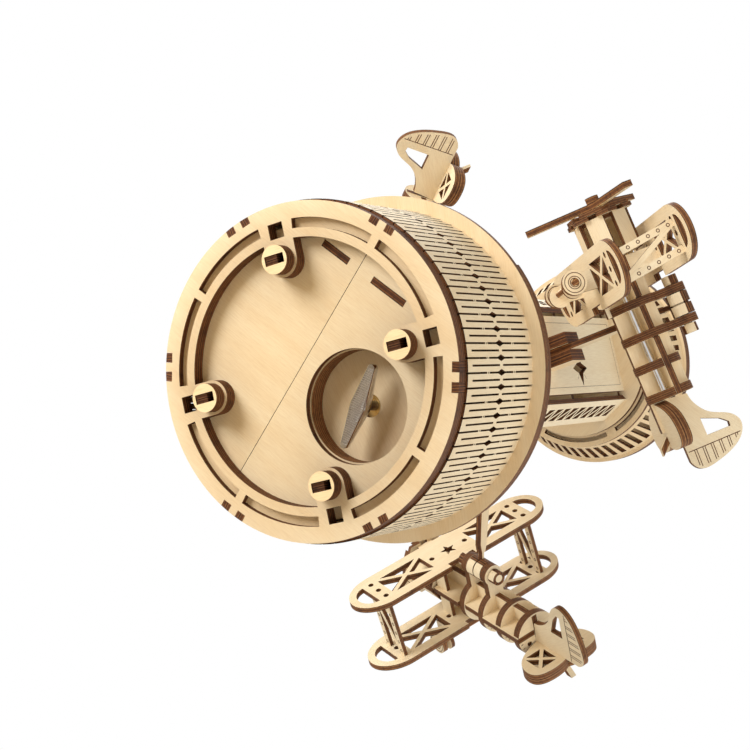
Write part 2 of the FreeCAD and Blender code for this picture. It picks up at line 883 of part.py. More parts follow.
def tower_panel():
    panel = block(face_apothem - sheet, face_apothem, -face_half, face_half, tower_z, tower_top)
    window = star(4, emblem_radius, sheet + 2)
    window = turned(window, 90, axis=V(0, 1, 0))
    return panel.cut(moved(window, face_apothem - sheet - 1, emblem_side, tower_top - emblem_drop))


def tower_lattice():
    strip = block(edge_apothem - sheet, edge_apothem, -edge_half, edge_half, tower_z, tower_top)
    cells = int((tower_height - 2 * cell_bar) / cell_pitch)
    first = tower_z + (tower_height - cells * cell_pitch) / 2
    half = cell_width / 2
    tools = []
    for i in range(cells):
        low = first + i * cell_pitch + cell_bar / 2
        high = low + cell_pitch - cell_bar
        slope = cell_bar / math.sqrt(2)
        triangles = [
            [(-half, low), (half - slope, low), (-half, high - slope)],
            [(half, high), (-half + slope, high), (half, low + slope)],
        ]
        for corners in triangles:
            loop = [V(edge_apothem - sheet - 1, y, z) for y, z in corners]
            face = Part.Face(Part.makePolygon(loop + loop[:1]))
            tools.append(face.extrude(V(sheet + 2, 0, 0)))
    return strip.cut(Part.makeCompound(tools))


def tower_frame(z, bore):
    reach = 2 * edge_apothem
    plate = disc(reach, z, sheet)
    for i in range(tower_sides):
        broad = block(-reach, face_apothem - sheet, -reach, reach, z, z + sheet)
        narrow = block(-reach, edge_apothem - sheet, -reach, reach, z, z + sheet)
        plate = plate.common(turned(broad, face_turn + third * i))
        plate = plate.common(turned(narrow, face_turn + third * (i + 0.5)))
    return plate.cut(disc(bore, z - 1, sheet + 2))


def tower_frames():
    solids = []
    for level in frame_levels:
        z = tower_z + level * (tower_height - sheet)
        bore = axle_radius if z < axle_top else frame_bore
        solids.append(tower_frame(z, bore))
    return solids


save("tower_panels", *around(tower_panel(), face_turn))
save("tower_lattices", *around(tower_lattice(), face_turn + third / 2))
save("tower_frames", *tower_frames())

# ---------------------------------------------------------------- cab
cab_z = tower_top
cab_ring_z = cab_z + sheet
cab_wall_z = cab_ring_z + sheet
cab_rim_z = cab_wall_z + cab_wall_height
roof_z = cab_rim_z + sheet


def cab_rings():
    lower = ring(cab_ring_radius, cab_ring_bore, cab_ring_z, sheet)
    step = 360.0 / cab_slot_count
    tools = [sector(cab_slot_inner, cab_slot_outer, step * i + cab_slot_bridge,
                    step * (i + 1) - cab_slot_bridge, cab_ring_z - 1, sheet + 2)
             for i in range(cab_slot_count)]
    lower = cut_all(lower, tools)
    return [lower, ring(cab_rim_radius, cab_rim_bore, cab_rim_z, sheet)]


def cab_wall():
    low = cab_ring_radius
    high = cab_rim_radius - cab_wall_inset
    outer = Part.makeCone(low, high, cab_wall_height, V(0, 0, cab_wall_z))
    inner = Part.makeCone(low - thin, high - thin, cab_wall_height, V(0, 0, cab_wall_z))
    wall = outer.cut(inner)
    slit = block(low - 2 * sheet, high + 2, -slit_width / 2, slit_width / 2,
                 cab_wall_z + slit_margin, cab_rim_z - slit_margin)
    slits = [turned(slit, 360.0 * i / cab_slits) for i in range(cab_slits)]
    return wall.cut(Part.makeCompound(slits))


def roof():
    plate = disc(cab_rim_radius, roof_z, sheet)
    step = disc(cab_rim_radius - roof_step, roof_z + sheet, sheet)
    cap = disc(finial_radius, roof_z + 2 * sheet, sheet)
    knob = disc(knob_radius, roof_z + 3 * sheet, knob_height)
    return [plate, step, cap, knob]


save("cab_floor", ring(cab_floor_radius, frame_bore, cab_z, sheet))
save("cab_rings", *cab_rings())
save("cab_wall", cab_wall())
save("roof", *roof())


# ---------------------------------------------------------------- arms
def on_face(shape, index):
    """From a frame whose x axis leaves the tower along the arm, root at the origin."""
    placed = moved(turned(shape, arm_lean[index]), arm_root, 0, 0)
    outside = block(face_apothem, tower_top, -tower_top, tower_top, 0, tower_top)
    placed = placed.common(outside)
    return turned(placed, face_turn + third * index)


def arm(index):
    reach = arm_reach[index]
    tip = reach - block_radius - arm_gap
    inner = face_apothem - arm_root - arm_embed
    body = upright_plate([
        (inner, root_height - arm_depth_root / 2),
        (bracket_reach - arm_root, root_height - arm_depth_root / 2),
        (tip - arm_nose, arm_height - arm_depth_tip / 2),
        (tip, arm_height - arm_depth_tip / 4),
        (tip, arm_height + arm_depth_tip / 4),
        (tip - arm_nose, arm_height + arm_depth_tip / 2),
        (bracket_reach - arm_root, root_height + arm_depth_root / 2),
        (inner, root_height + arm_depth_root / 2),
    ], sheet)
    peg_start = tip - peg_embed
    peg_end = reach - pin_radius - peg_gap
    peg = Part.makeCylinder(peg_radius, peg_end - peg_start, V(peg_start, 0, arm_height),
                            V(1, 0, 0))
    return on_face(body.fuse(peg), index)


def bracket(index):
    half = bracket_height / 2
    inner = face_apothem - arm_root - arm_embed
    outer = bracket_reach - arm_root
    cheek = upright_plate([
        (inner, root_height - half), (outer, root_height - half),
        (outer, root_height + half), (inner, root_height + half),
    ], 2 * sheet)
    side = 1.5 * sheet
    return [on_face(moved(cheek, 0, side, 0), index), on_face(moved(cheek, 0, -side, 0), index)]


save("arms", *[arm(i) for i in range(tower_sides)])
save("arm_brackets", *[cheek for i in range(tower_sides) for cheek in bracket(i)])


# ---------------------------------------------------------------- biplanes
def wing_outline():
    """Straight edges with half an ellipse at each tip, centred on the origin."""
    straight = wing_half - tip_length
    half = wing_chord / 2
    edges = []
    for side in (1, -1):
        start = math.pi if side < 0 else 0.0
        tip = Part.Ellipse(V(0, side * straight, 0), tip_length, half)
        tip.XAxis = V(0, 1, 0)
        edges.append(Part.ArcOfEllipse(tip, start - math.pi / 2, start + math.pi / 2).toShape())
    for x in (half, -half):
        edges.append(Part.makeLine(V(x, -straight, 0), V(x, straight, 0)))
    return Part.Face(Part.Wire(Part.__sortEdges__(edges)))


def braced_window():
    """A window with a cross brace, cut through a wing on its left half."""
    low = V(-window_half, window_inner, 0)
    size = window_outer - window_inner
    opening = Part.makeBox(2 * window_half, size, sheet + 2, V(low.x, low.y, -1))
    for side in (1, -1):
        start = (-side * window_half, window_inner)
        end = (side * window_half, window_outer)
        opening = opening.cut(bar(start, end, brace, sheet + 4, -2))
    return opening


def tip_window():
    """A window with one straight side and a round one towards the wing's tip."""
    tip = Part.Ellipse(V(0, tip_window_at, 0), window_half, tip_window_length)
    arc = Part.ArcOfEllipse(tip, 0, math.pi).toShape()
    line = Part.makeLine(V(-window_half, tip_window_at, 0), V(window_half, tip_window_at, 0))
    face = Part.Face(Part.Wire(Part.__sortEdges__([arc, line])))
    return moved(face.extrude(V(0, 0, sheet + 2)), 0, 0, -1)


def wing(is_upper):
    """A wing in its own plane, from z = 0 up."""
    body = wing_outline().extrude(V(0, 0, sheet))
    tools = []
    for angle in (0, 180):
        tools.append(turned(braced_window(), angle))
        tools.append(turned(tip_window(), angle))
        for i in (-1, 0, 1):
            tools.append(turned(disc(dot_radius, -1, sheet + 2, i * dot_pitch, dots_at), angle))
        tools.append(turned(disc(dot_radius, -1, sheet + 2, 0, inner_dot_at), angle))
    step = -wing_chord / 2
    tools.append(block(step - 1, step + wing_step_depth, -wing_step_half, wing_step_half,
                       -1, sheet + 1))
    if is_upper:
        tools.append(star(5, star_radius, sheet + 2, -1, 0))
    return body.cut(Part.makeCompound(tools))


def wings():
    upper = moved(wing(True), upper_wing[0], 0, upper_wing[1] - sheet / 2)
    lower = moved(wing(False), lower_wing[0], 0, lower_wing[1] - sheet / 2)
    return [upper, lower]


def side_plate(points, y, width):
    """A plate in the x-z plane with its middle at y."""
    return moved(upright_plate(points, width), 0, y, 0)


def flat_bar(start, end, width, y, thickness):
    """A bar in the x-z plane between two points."""
    dx = end[0] - start[0]
    dz = end[1] - start[1]
    length = math.hypot(dx, dz)
    nx = -dz / length * width / 2
    nz = dx / length * width / 2
    corners = [(start[0] + nx, start[1] + nz), (end[0] + nx, end[1] + nz),
               (end[0] - nx, end[1] - nz), (start[0] - nx, start[1] - nz)]
    return side_plate(corners, y, thickness)


def struts():
    top = upper_wing[1] - sheet / 2
    bottom = lower_wing[1] + sheet / 2
    solids = []
    for side in (1, -1):
        y = side * strut_at
        front = ((upper_wing[0] + strut_front, top), (lower_wing[0] + strut_front, bottom))
        rear = ((upper_wing[0] + strut_rear, top), (lower_wing[0] + strut_rear, bottom))
        frame = flat_bar(*front, strut_width, y, thin)
        frame = frame.fuse(flat_bar(*rear, strut_width, y, thin))
        frame = frame.fuse(flat_bar(front[0], rear[1], strut_brace, y, thin))
        room = block(-wing_half, wing_half, -wing_half, wing_half, bottom, top)
        solids.append(frame.common(room).removeSplitter())
    middle = (upper_wing[0] + lower_wing[0]) / 2
    for side in (1, -1):
        rear = middle - cabane_width / 2
        front = middle + cabane_width / 2
        corners = [(rear, bottom), (front, bottom), (front, top), (rear, top)]
        solids.append(side_plate(corners, side * cabane_at, thin))
    return solids


def deck():
    left = [(deck_front, deck_neck_half), (deck_shoulder, deck_neck_half),
            (deck_shoulder, deck_half_front), (deck_rear, deck_half_rear)]
    right = [(x, -y) for x, y in reversed(left)]
    plate = polygon(left + right, sheet, deck_height - sheet / 2)
    along, across = deck_relief
    relief = block(-along, along, across, 2 * across, deck_height - sheet, deck_height + sheet)
    return plate.cut(relief).cut(mirrored(relief))


def keel():
    """Upright spine: full height up to the fin, and a low strip on under the tailplane."""
    floor = lower_wing[1] + sheet / 2
    return side_plate([
        (keel_front, floor), (keel_front, keel_top), (tail_front, keel_top), (tail_front, tail_top),
        (keel_rear, tail_top), (keel_rear, keel_bottom), (keel_middle, keel_bottom),
        (keel_middle, floor),
    ], 0, sheet)


def rib(station, has_lobe):
    """Half-round below, straight sides, and at the pin a lobe that turns on it."""
    x = station - thin
    body = Part.makeCylinder(rib_radius, 2 * thin, V(x, 0, rib_centre), V(1, 0, 0))
    trim = block(x - 1, x + 2 * thin + 1, -rib_radius, rib_radius, rib_bottom, 0)
    body = body.common(trim)
    if has_lobe:
        neck = block(x, x + 2 * thin, -rib_neck, rib_neck, rib_centre, 0)
        eye = Part.makeCylinder(lobe_height, 2 * thin, V(x, 0, 0), V(1, 0, 0))
        body = body.fuse(neck).fuse(eye)
        bore = Part.makeCylinder(pin_radius + run_fit, 2 * thin + 2, V(x - 1, 0, 0), V(1, 0, 0))
        body = body.cut(bore)
    return body


def hexagon(radius, x, width):
    corners = []
    for i in range(stave_count):
        angle = math.radians(360.0 * (i + 0.5) / stave_count)
        corners.append(V(x, radius * math.sin(angle), engine_height + radius * math.cos(angle)))
    return Part.Face(Part.makePolygon(corners + corners[:1])).extrude(V(width, 0, 0))


def engine():
    """Six staves round two hexagonal plates, and a toothed front of two sheets."""
    inner = engine_radius - thin
    corner = 1.0 / math.cos(math.pi / stave_count)
    back = hexagon(inner * corner, engine_back, thin)
    front = hexagon(inner * corner, engine_front - thin, thin)
    solids = [back, front]
    for i in range(stave_count):
        stave = block(engine_back, engine_front, -stave_width / 2, stave_width / 2,
                      inner, engine_radius)
        stave = turned(stave, 360.0 * i / stave_count, axis=V(1, 0, 0))
        solids.append(moved(stave, 0, 0, engine_height))
    for layer in range(2):
        x = engine_front + layer * thin
        face = hexagon((engine_radius + engine_rim) * corner, x, thin)
        gaps = []
        for i in range(stave_count):
            notch = block(x - 1, x + thin + 1, -tooth_gap_half, tooth_gap_half,
                          engine_radius - tooth_gap_depth, 2 * engine_radius)
            notch = turned(notch, 360.0 * (i + 0.5 * layer) / stave_count, axis=V(1, 0, 0))
            gaps.append(moved(notch, 0, 0, engine_height))
        solids.append(cut_all(face, gaps))
    hole = Part.makeCylinder(propeller_shaft + run_fit, engine_front,
                             V(engine_back + 2 * thin, 0, engine_height), V(1, 0, 0))
    return [piece.cut(hole) for piece in solids]


def legs():
    solids = []
    top = lower_wing[1] - sheet / 2
    for side in (1, -1):
        y = side * leg_at
        leg = side_plate([
            (wheel_x + leg_top[0], top), (wheel_x + leg_top[1], top),
            (wheel_x + leg_low[1], wheel_z), (wheel_x + leg_low[0], wheel_z),
        ], y, thin)
        foot = Part.makeCylinder(leg_radius, thin, V(wheel_x + leg_set, y - thin / 2, wheel_z),
                                 V(0, 1, 0))
        room = block(-wing_half, wing_half, -wing_half, wing_half, 2 * wheel_z, top)
        leg = leg.fuse(foot).common(room)
        axle = Part.makeCylinder(wheel_axle + run_fit, 4 * wheel_y,
                                 V(wheel_x, -2 * wheel_y, wheel_z), V(0, 1, 0))
        solids.append(leg.cut(axle))
    return solids


def fuselage():
    spine = deck()
    fin = keel()
    ribs = [rib(x, x in rib_stations[:2]) for x in rib_stations]
    rod = rod_solid()
    spine = spine.cut(fin)
    ribs = [piece.cut(spine).cut(fin).cut(rod) for piece in ribs]
    motor = engine()
    motor[0] = motor[0].cut(spine).cut(fin)
    return [spine, fin] + ribs + motor + legs()


def rod_solid():
    front = rib_stations[0] + thin + rod_proud
    rear = rib_stations[-1] - thin
    return Part.makeCylinder(rod_radius, front - rear, V(rear, rod_side, rod_height), V(1, 0, 0))


def tailplane_layer(z):
    """One sheet of the tailplane, slotted from the front for the keel."""
    points = [V(tail_front + x, y, z) for x, y in tailplane]
    curve = Part.BSplineCurve()
    curve.interpolate(points)
    middle = Part.makeLine(points[-1], points[0])
    half = Part.Face(Part.Wire([curve.toShape(), middle])).extrude(V(0, 0, sheet))
    whole = half.fuse(mirrored(half)).removeSplitter()
    return whole.cut(keel())


def mirrored(shape):
    return shape.mirror(V(0, 0, 0), V(0, 1, 0))


def tail():
    """Tailplane of two sheets, fin with rudder, and skid."""
    upper = tailplane_layer(tail_top - sheet)
    lower = tailplane_layer(tail_top - 2 * sheet)
    rear, front, inner, outer = tail_window
    rear += tail_front
    front += tail_front
    window = block(rear, front, inner, outer, tail_top - 2 * sheet, tail_top + sheet)
    for start, end in (((front, inner), (rear, outer)), ((rear, inner), (front, outer))):
        window = window.cut(bar(start, end, tail_brace, 4 * sheet, tail_top - 3 * sheet))
    upper = upper.cut(window).cut(mirrored(window))
    skid_x = tail_front + skid_at
    skid_top = tail_top - 2 * sheet
    skid = side_plate([
        (skid_x, skid_top), (skid_x - skid_slope, skid_top - skid_drop),
        (skid_x - skid_slope - skid_width, skid_top - skid_drop), (skid_x - skid_width, skid_top),
    ], 0, sheet)
    return [upper, lower, fin_plate(), skid]


def fin_plate():
    """Upright fin and rudder in one sheet, standing on the tailplane, with a window."""
    def place(points):
        return [V(tail_front + x, -sheet / 2, tail_top + z) for x, z in points]

    curve = Part.BSplineCurve()
    curve.interpolate(place(fin_back))
    foot = place(fin_foot)
    lines = [Part.makeLine(a, b) for a, b in zip(foot, foot[1:])]
    body = Part.Face(Part.Wire(Part.__sortEdges__([curve.toShape()] + lines)))
    body = body.extrude(V(0, sheet, 0))
    window = [(point.x, point.z) for point in place(fin_window)]
    return body.cut(side_plate(window, 0, 2 * sheet))


def propeller(turn):
    x = propeller_at
    hub = Part.makeCylinder(propeller_hub, sheet, V(x, 0, engine_height), V(1, 0, 0))
    for i in range(blade_count):
        blade = block(x, x + sheet, -blade_width / 2, blade_width / 2, 0, propeller_radius)
        blade = turned(blade, turn + 360.0 * i / blade_count - 90.0, axis=V(1, 0, 0))
        hub = hub.fuse(moved(blade, 0, 0, engine_height))
    inside = engine_front - shaft_inside
    axle = Part.makeCylinder(propeller_shaft, x + 2 * sheet - inside,
                             V(inside, 0, engine_height), V(1, 0, 0))
    cap = Part.makeCylinder(propeller_cap, sheet, V(x + sheet, 0, engine_height), V(1, 0, 0))
    return hub.fuse(axle).fuse(cap).removeSplitter()


def wheels():
    solids = []
    for side in (1, -1):
        y = side * wheel_y - sheet / 2
        tyre = Part.makeCylinder(wheel_radius, sheet, V(wheel_x, y, wheel_z), V(0, 1, 0))
        bore = Part.makeCylinder(wheel_axle, sheet + 2, V(wheel_x, y - 1, wheel_z), V(0, 1, 0))
        solids.append(tyre.cut(bore))
    reach = wheel_y + sheet
    solids.append(Part.makeCylinder(wheel_axle, 2 * reach, V(wheel_x, -reach, wheel_z), V(0, 1, 0)))
    return solids


def pivot_block():
    """The pin, a stack of discs between the two lobed ribs, and a cap at each end."""
    inner = rib_stations[0] - thin - free
    outer = rib_stations[0] + thin + free
    end = outer + pin_cap
    stack = Part.makeCylinder(block_radius, 2 * inner, V(-inner, 0, 0), V(1, 0, 0))
    groove = Part.makeCylinder(block_radius + 1, 2 * groove_half, V(-groove_half, 0, 0), V(1, 0, 0))
    core = Part.makeCylinder(block_radius - groove_depth, 2, V(-1, 0, 0), V(1, 0, 0))
    stack = stack.cut(groove.cut(core))
    pin = Part.makeCylinder(pin_radius, 2 * end, V(-end, 0, 0), V(1, 0, 0))
    stack = stack.cut(pin)
    caps = []
    for x in (outer, -end):
        caps.append(Part.makeCylinder(cap_radius, pin_cap, V(x, 0, 0), V(1, 0, 0)).cut(pin))
    return [stack, pin] + caps


def plane_placement(index, key):
    """Where a biplane's own frame stands: its pivot on the arm, and its attitude."""
    heading, yaw, rock, bank = planes[key][:4]
    azimuth = face_turn + third * index
    lean = azimuth + arm_lean[index]
    root = (arm_root * math.cos(math.radians(azimuth)), arm_root * math.sin(math.radians(azimuth)))
    reach = arm_reach[index]
    at = V(root[0] + reach * math.cos(math.radians(lean)),
           root[1] + reach * math.sin(math.radians(lean)), arm_height)
    out = FreeCAD.Rotation(UP, lean)
    y, p = math.radians(yaw), math.radians(rock)
    pin = V(-math.sin(y), math.cos(y) * math.cos(p), math.cos(y) * math.sin(p))
    forward = out.multVec(pin) * heading
    upward = UP - forward * UP.dot(forward)
    upward.normalize()
    left = upward.cross(forward)
    attitude = FreeCAD.Matrix(forward.x, left.x, upward.x, at.x,
                              forward.y, left.y, upward.y, at.y,
                              forward.z, left.z, upward.z, at.z,
                              0, 0, 0, 1)
    roll = FreeCAD.Placement(V(0, 0, 0), FreeCAD.Rotation(V(1, 0, 0), bank))
    return FreeCAD.Placement(attitude).multiply(roll), out.multVec(V(1, 0, 0)), at


def placed(shapes, placement):
    return [shape.transformed(placement.toMatrix()) for shape in shapes]


tail_parts = tail()
body_parts = fuselage()
body_parts[0] = body_parts[0].cut(tail_parts[2])
strut_parts = [piece.cut(body_parts[0]) for piece in struts()]
for index, key in enumerate(planes):
    placement, arm_way, pivot = plane_placement(index, key)
    save("wings_" + key, *placed(wings(), placement))
    save("struts_" + key, *placed(strut_parts, placement))
    save("fuselage_" + key, *placed(body_parts, placement))
    save("tail_" + key, *placed(tail_parts, placement))
    save("propeller_" + key, *placed([propeller(planes[key][4])], placement))
    save("wheels_" + key, *placed(wheels(), placement))
    save("rod_" + key, *placed([rod_solid()], placement))
    pieces = placed(pivot_block(), placement)
    mouth = block_radius + arm_gap
    socket = Part.makeCylinder(peg_radius + run_fit, mouth - pin_radius, pivot - arm_way * mouth,
                               arm_way)
    pieces[0] = pieces[0].cut(socket)
    save("pivot_block_" + key, *pieces)
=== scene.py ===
import json
import math

import bpy
import numpy as np
from mathutils import Matrix, Vector


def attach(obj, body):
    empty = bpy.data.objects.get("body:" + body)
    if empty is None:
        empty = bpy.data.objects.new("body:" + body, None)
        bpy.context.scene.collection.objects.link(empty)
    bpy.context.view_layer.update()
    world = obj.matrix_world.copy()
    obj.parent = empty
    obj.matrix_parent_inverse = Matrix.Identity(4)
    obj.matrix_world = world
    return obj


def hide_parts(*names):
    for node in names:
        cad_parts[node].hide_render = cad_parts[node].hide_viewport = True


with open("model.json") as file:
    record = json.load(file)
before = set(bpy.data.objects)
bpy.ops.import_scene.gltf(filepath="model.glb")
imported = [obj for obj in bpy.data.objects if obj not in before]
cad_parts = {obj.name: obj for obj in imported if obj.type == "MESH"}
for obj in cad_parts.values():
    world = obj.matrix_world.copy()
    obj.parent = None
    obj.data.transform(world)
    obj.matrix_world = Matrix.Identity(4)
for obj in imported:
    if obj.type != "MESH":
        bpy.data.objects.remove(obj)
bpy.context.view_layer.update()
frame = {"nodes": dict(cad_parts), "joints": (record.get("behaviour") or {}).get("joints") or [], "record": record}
nodes = frame["nodes"]
record = frame["record"]
joints = {joint["name"]: joint for joint in frame["joints"]}
bodyOf = {node: body for body, held in record["behaviour"]["bodies"].items() for node in held}
slotOf = {entry["node"]: entry["material_slot"] for entry in record["subparts"]}
mm = 0.001
uvPerMetre = 100   # the UVs of the sheets count centimetres
print("frame loaded,", len(nodes), "nodes")


# One node of a material, with its plain values and its settings.
def addNode(tree, kind, values=None, **settings):
    node = tree.nodes.new(kind)
    for name, value in settings.items():
        setattr(node, name, value)
    for socket, value in (values or {}).items():
        node.inputs[socket].default_value = value
    return node


# Colour by a factor, from stops of place and colour that run upwards.
def colourRamp(tree, factor, stops):
    ramp = addNode(tree, "ShaderNodeValToRGB")
    for place, colour in stops[2:]:
        ramp.color_ramp.elements.new(place)
    for element, (place, colour) in zip(ramp.color_ramp.elements, stops):
        element.position = place
        element.color = (*colour, 1.0)
    tree.links.new(factor, ramp.inputs["Fac"])
    return ramp.outputs["Color"]


# Sockets 0, 6 and 7 of a colour mix are its factor and its two colours.
def mixColour(tree, factor, first, second):
    node = addNode(tree, "ShaderNodeMix", data_type="RGBA")
    for socket, value in ((0, factor), (6, first), (7, second)):
        if isinstance(value, tuple):
            node.inputs[socket].default_value = (*value, 1.0)
        else:
            tree.links.new(value, node.inputs[socket])
    return node.outputs[2]


# Scale, detail and roughness are the noise texture's own.
def noise(tree, vector, scale, detail, roughness):
    node = addNode(tree, "ShaderNodeTexNoise", {"Scale": scale, "Detail": detail, "Roughness": roughness})
    tree.links.new(vector, node.inputs["Vector"])
    return node.outputs["Fac"]


def stretched(tree, vector, scale):
    node = addNode(tree, "ShaderNodeMapping", {"Scale": scale})
    tree.links.new(vector, node.inputs["Vector"])
    return node.outputs["Vector"]


def mapRange(tree, value, low, high, newLow, newHigh):
    node = addNode(tree, "ShaderNodeMapRange",
                   {"From Min": low, "From Max": high, "To Min": newLow, "To Max": newHigh})
    tree.links.new(value, node.inputs["Value"])
    return node.outputs["Result"]


def startMaterial(name, **shaderValues):
    material = bpy.data.materials.new(name)
    material.use_nodes = True
    shader = material.node_tree.nodes["Principled BSDF"]
    for socket, value in shaderValues.items():
        shader.inputs[socket.replace("_", " ")].default_value = value
    return material, material.node_tree, shader


def addBump(tree, shader, height, distance):
    bump = addNode(tree, "ShaderNodeBump", {"Strength": 1.0, "Distance": distance})
    tree.links.new(height, bump.inputs["Height"])
    tree.links.new(bump.outputs["Normal"], shader.inputs["Normal"])


# each noise is its scale, detail and roughness
birchFaceLook = {
    "pale": (0.88, 0.745, 0.51), "warm": (0.74, 0.52, 0.27), "grain": (0.56, 0.35, 0.15),
    "fine": (3.2, 5.0, 0.62), "fineStretch": (0.55, 9.0, 1.0), "fineShare": 0.30,
    "bands": (1.7, 2.0, 0.5), "bandStretch": (0.10, 0.9, 1.0), "bandWarmth": (-0.10, 0.16),
    "pores": (2.6, 2.0, 0.5), "poreStretch": (2.2, 60.0, 1.0), "poreShare": 0.22,
    "roughness": (0.56, 0.70), "relief": 0.04 * mm,
}


# Faces of the sheets: long fine grain along the UV's first direction, broad bands and fine
# pores across it, and a warmer colour where the face's own tone attribute is high.
def makeBirchFace():
    look = birchFaceLook
    material, tree, shader = startMaterial("birchFace")
    uv = addNode(tree, "ShaderNodeUVMap", uv_map="ply").outputs["UV"]
    tone = addNode(tree, "ShaderNodeAttribute", attribute_name="tone").outputs["Fac"]
    fine = noise(tree, stretched(tree, uv, look["fineStretch"]), *look["fine"])
    bands = noise(tree, stretched(tree, uv, look["bandStretch"]), *look["bands"])
    pores = noise(tree, stretched(tree, uv, look["poreStretch"]), *look["pores"])
    warmth = addNode(tree, "ShaderNodeMath", operation="ADD", use_clamp=True)
    tree.links.new(mapRange(tree, bands, 0.35, 0.65, *look["bandWarmth"]), warmth.inputs[0])
    tree.links.new(tone, warmth.inputs[1])
    colour = mixColour(tree, warmth.outputs[0], look["pale"], look["warm"])
    grained = mapRange(tree, fine, 0.42, 0.74, 0.0, look["fineShare"])
    pored = mapRange(tree, pores, 0.60, 0.72, 0.0, look["poreShare"])
    colour = mixColour(tree, grained, colour, look["grain"])
    colour = mixColour(tree, pored, colour, look["grain"])
    tree.links.new(colour, shader.inputs["Base Color"])
    tree.links.new(mapRange(tree, fine, 0.3, 0.7, *look["roughness"]), shader.inputs["Roughness"])
    addBump(tree, shader, fine, look["relief"])
    return material


burntEdgeLook = {
    "char": (0.022, 0.009, 0.005),
    "layer": (0.185, 0.066, 0.019),
    "core": (0.095, 0.031, 0.010),
    "paleLayer": (0.42, 0.205, 0.072),
    "paleCore": (0.25, 0.095, 0.030),
    "streaks": (900.0, 3.0, 0.6), "streakShare": 0.55,
    "patches": (160.0, 2.0, 0.5), "patchShare": 0.6,
    "relief": 0.06 * mm,
}


# Cut edges: three veneers across the sheet, read from the UV's second coordinate, which
# counts sheets through the depth, with thin char lines between them and char in patches.
def makeBurntEdge():
    look = burntEdgeLook
    material, tree, shader = startMaterial("burntEdge", Roughness=0.7, Specular_IOR_Level=0.25)
    uv = addNode(tree, "ShaderNodeUVMap", uv_map="ply").outputs["UV"]
    place = addNode(tree, "ShaderNodeTexCoord").outputs["Object"]
    burn = addNode(tree, "ShaderNodeAttribute", attribute_name="tone").outputs["Fac"]
    split = addNode(tree, "ShaderNodeSeparateXYZ")
    tree.links.new(uv, split.inputs[0])
    depth = addNode(tree, "ShaderNodeMath", operation="FRACT")
    tree.links.new(split.outputs["Y"], depth.inputs[0])

    # colours by the share of one sheet's depth
    def veneers(layer, core, char):
        stops = [(0.0, char), (0.07, char), (0.13, layer), (0.30, layer), (0.35, char), (0.41, core),
                 (0.59, core), (0.65, char), (0.70, layer), (0.87, layer), (0.93, char), (1.0, char)]
        return colourRamp(tree, depth.outputs[0], stops)

    pale = veneers(look["paleLayer"], look["paleCore"], look["core"])
    dark = veneers(look["layer"], look["core"], look["char"])
    # the tone attribute mixes the pale and the dark veneers: laser burn, with painted shade added for edges that
    # lie in shade
    colour = mixColour(tree, burn, pale, dark)
    streaks = noise(tree, place, *look["streaks"])
    patches = noise(tree, place, *look["patches"])
    streaked = mapRange(tree, streaks, 0.45, 0.75, 0.0, look["streakShare"])
    charred = mapRange(tree, patches, 0.52, 0.75, 0.0, look["patchShare"])
    colour = mixColour(tree, streaked, colour, look["char"])
    colour = mixColour(tree, charred, colour, look["char"])
    tree.links.new(colour, shader.inputs["Base Color"])
    addBump(tree, shader, streaks, look["relief"])
    return material


engravingLook = {"burn": (0.085, 0.030, 0.012), "speck": (0.20, 0.085, 0.032), "specks": (1500.0, 2.0, 0.5)}


# Lines burnt into a face by the laser: nearly black brown, with lighter specks.
def makeEngraving():
    look = engravingLook
    material, tree, shader = startMaterial("engraving", Roughness=0.8)
    place = addNode(tree, "ShaderNodeTexCoord").outputs["Object"]
    specks = noise(tree, place, *look["specks"])
    colour = mixColour(tree, mapRange(tree, specks, 0.4, 0.7, 0.0, 0.7), look["burn"], look["speck"])
    tree.links.new(colour, shader.inputs["Base Color"])
    return material


metalLook = {
    "chrome": {"name": "chromePlate", "colour": (0.80, 0.80, 0.82), "tint": (0.70, 0.70, 0.72),
               "roughness": 0.13, "scale": 400.0, "relief": 0.004 * mm},
    "steel": {"name": "groundSteel", "colour": (0.56, 0.56, 0.57), "tint": (0.44, 0.44, 0.45),
              "roughness": 0.32, "scale": 300.0, "relief": 0.01 * mm},
    "brass": {"name": "turnedBrass", "colour": (0.80, 0.58, 0.25), "tint": (0.70, 0.47, 0.18),
              "roughness": 0.28, "scale": 300.0, "relief": 0.01 * mm},
    "cast_block": {"name": "castBlock", "colour": (0.30, 0.30, 0.32), "tint": (0.22, 0.22, 0.24),
                   "roughness": 0.55, "scale": 700.0, "relief": 0.04 * mm},
}
metalWear = {"smoothest": 0.75, "roughest": 1.3, "brushStretch": (1.0, 1.0, 14.0), "brushFineness": 6}


# Metal: cloudy changes of colour and roughness, and a fine brushed bump.
def makeMetal(look):
    material, tree, shader = startMaterial(look["name"], Metallic=1.0)
    place = addNode(tree, "ShaderNodeTexCoord").outputs["Object"]
    cloud = noise(tree, place, look["scale"], 3.0, 0.5)
    colour = mixColour(tree, mapRange(tree, cloud, 0.35, 0.7, 0.0, 1.0), look["colour"], look["tint"])
    tree.links.new(colour, shader.inputs["Base Color"])
    smooth, rough = look["roughness"] * metalWear["smoothest"], look["roughness"] * metalWear["roughest"]
    tree.links.new(mapRange(tree, cloud, 0.3, 0.7, smooth, rough), shader.inputs["Roughness"])
    brushed = noise(tree, stretched(tree, place, metalWear["brushStretch"]),
                    look["scale"] * metalWear["brushFineness"], 2.0, 0.5)
    addBump(tree, shader, brushed, look["relief"])
    return material


birchFace = makeBirchFace()
burntEdge = makeBurntEdge()
engraving = makeEngraving()
metals = {slot: makeMetal(look) for slot, look in metalLook.items()}
print("materials made")

sharpAngle = 0.6   # radians between two faces, past which their edge is sharp


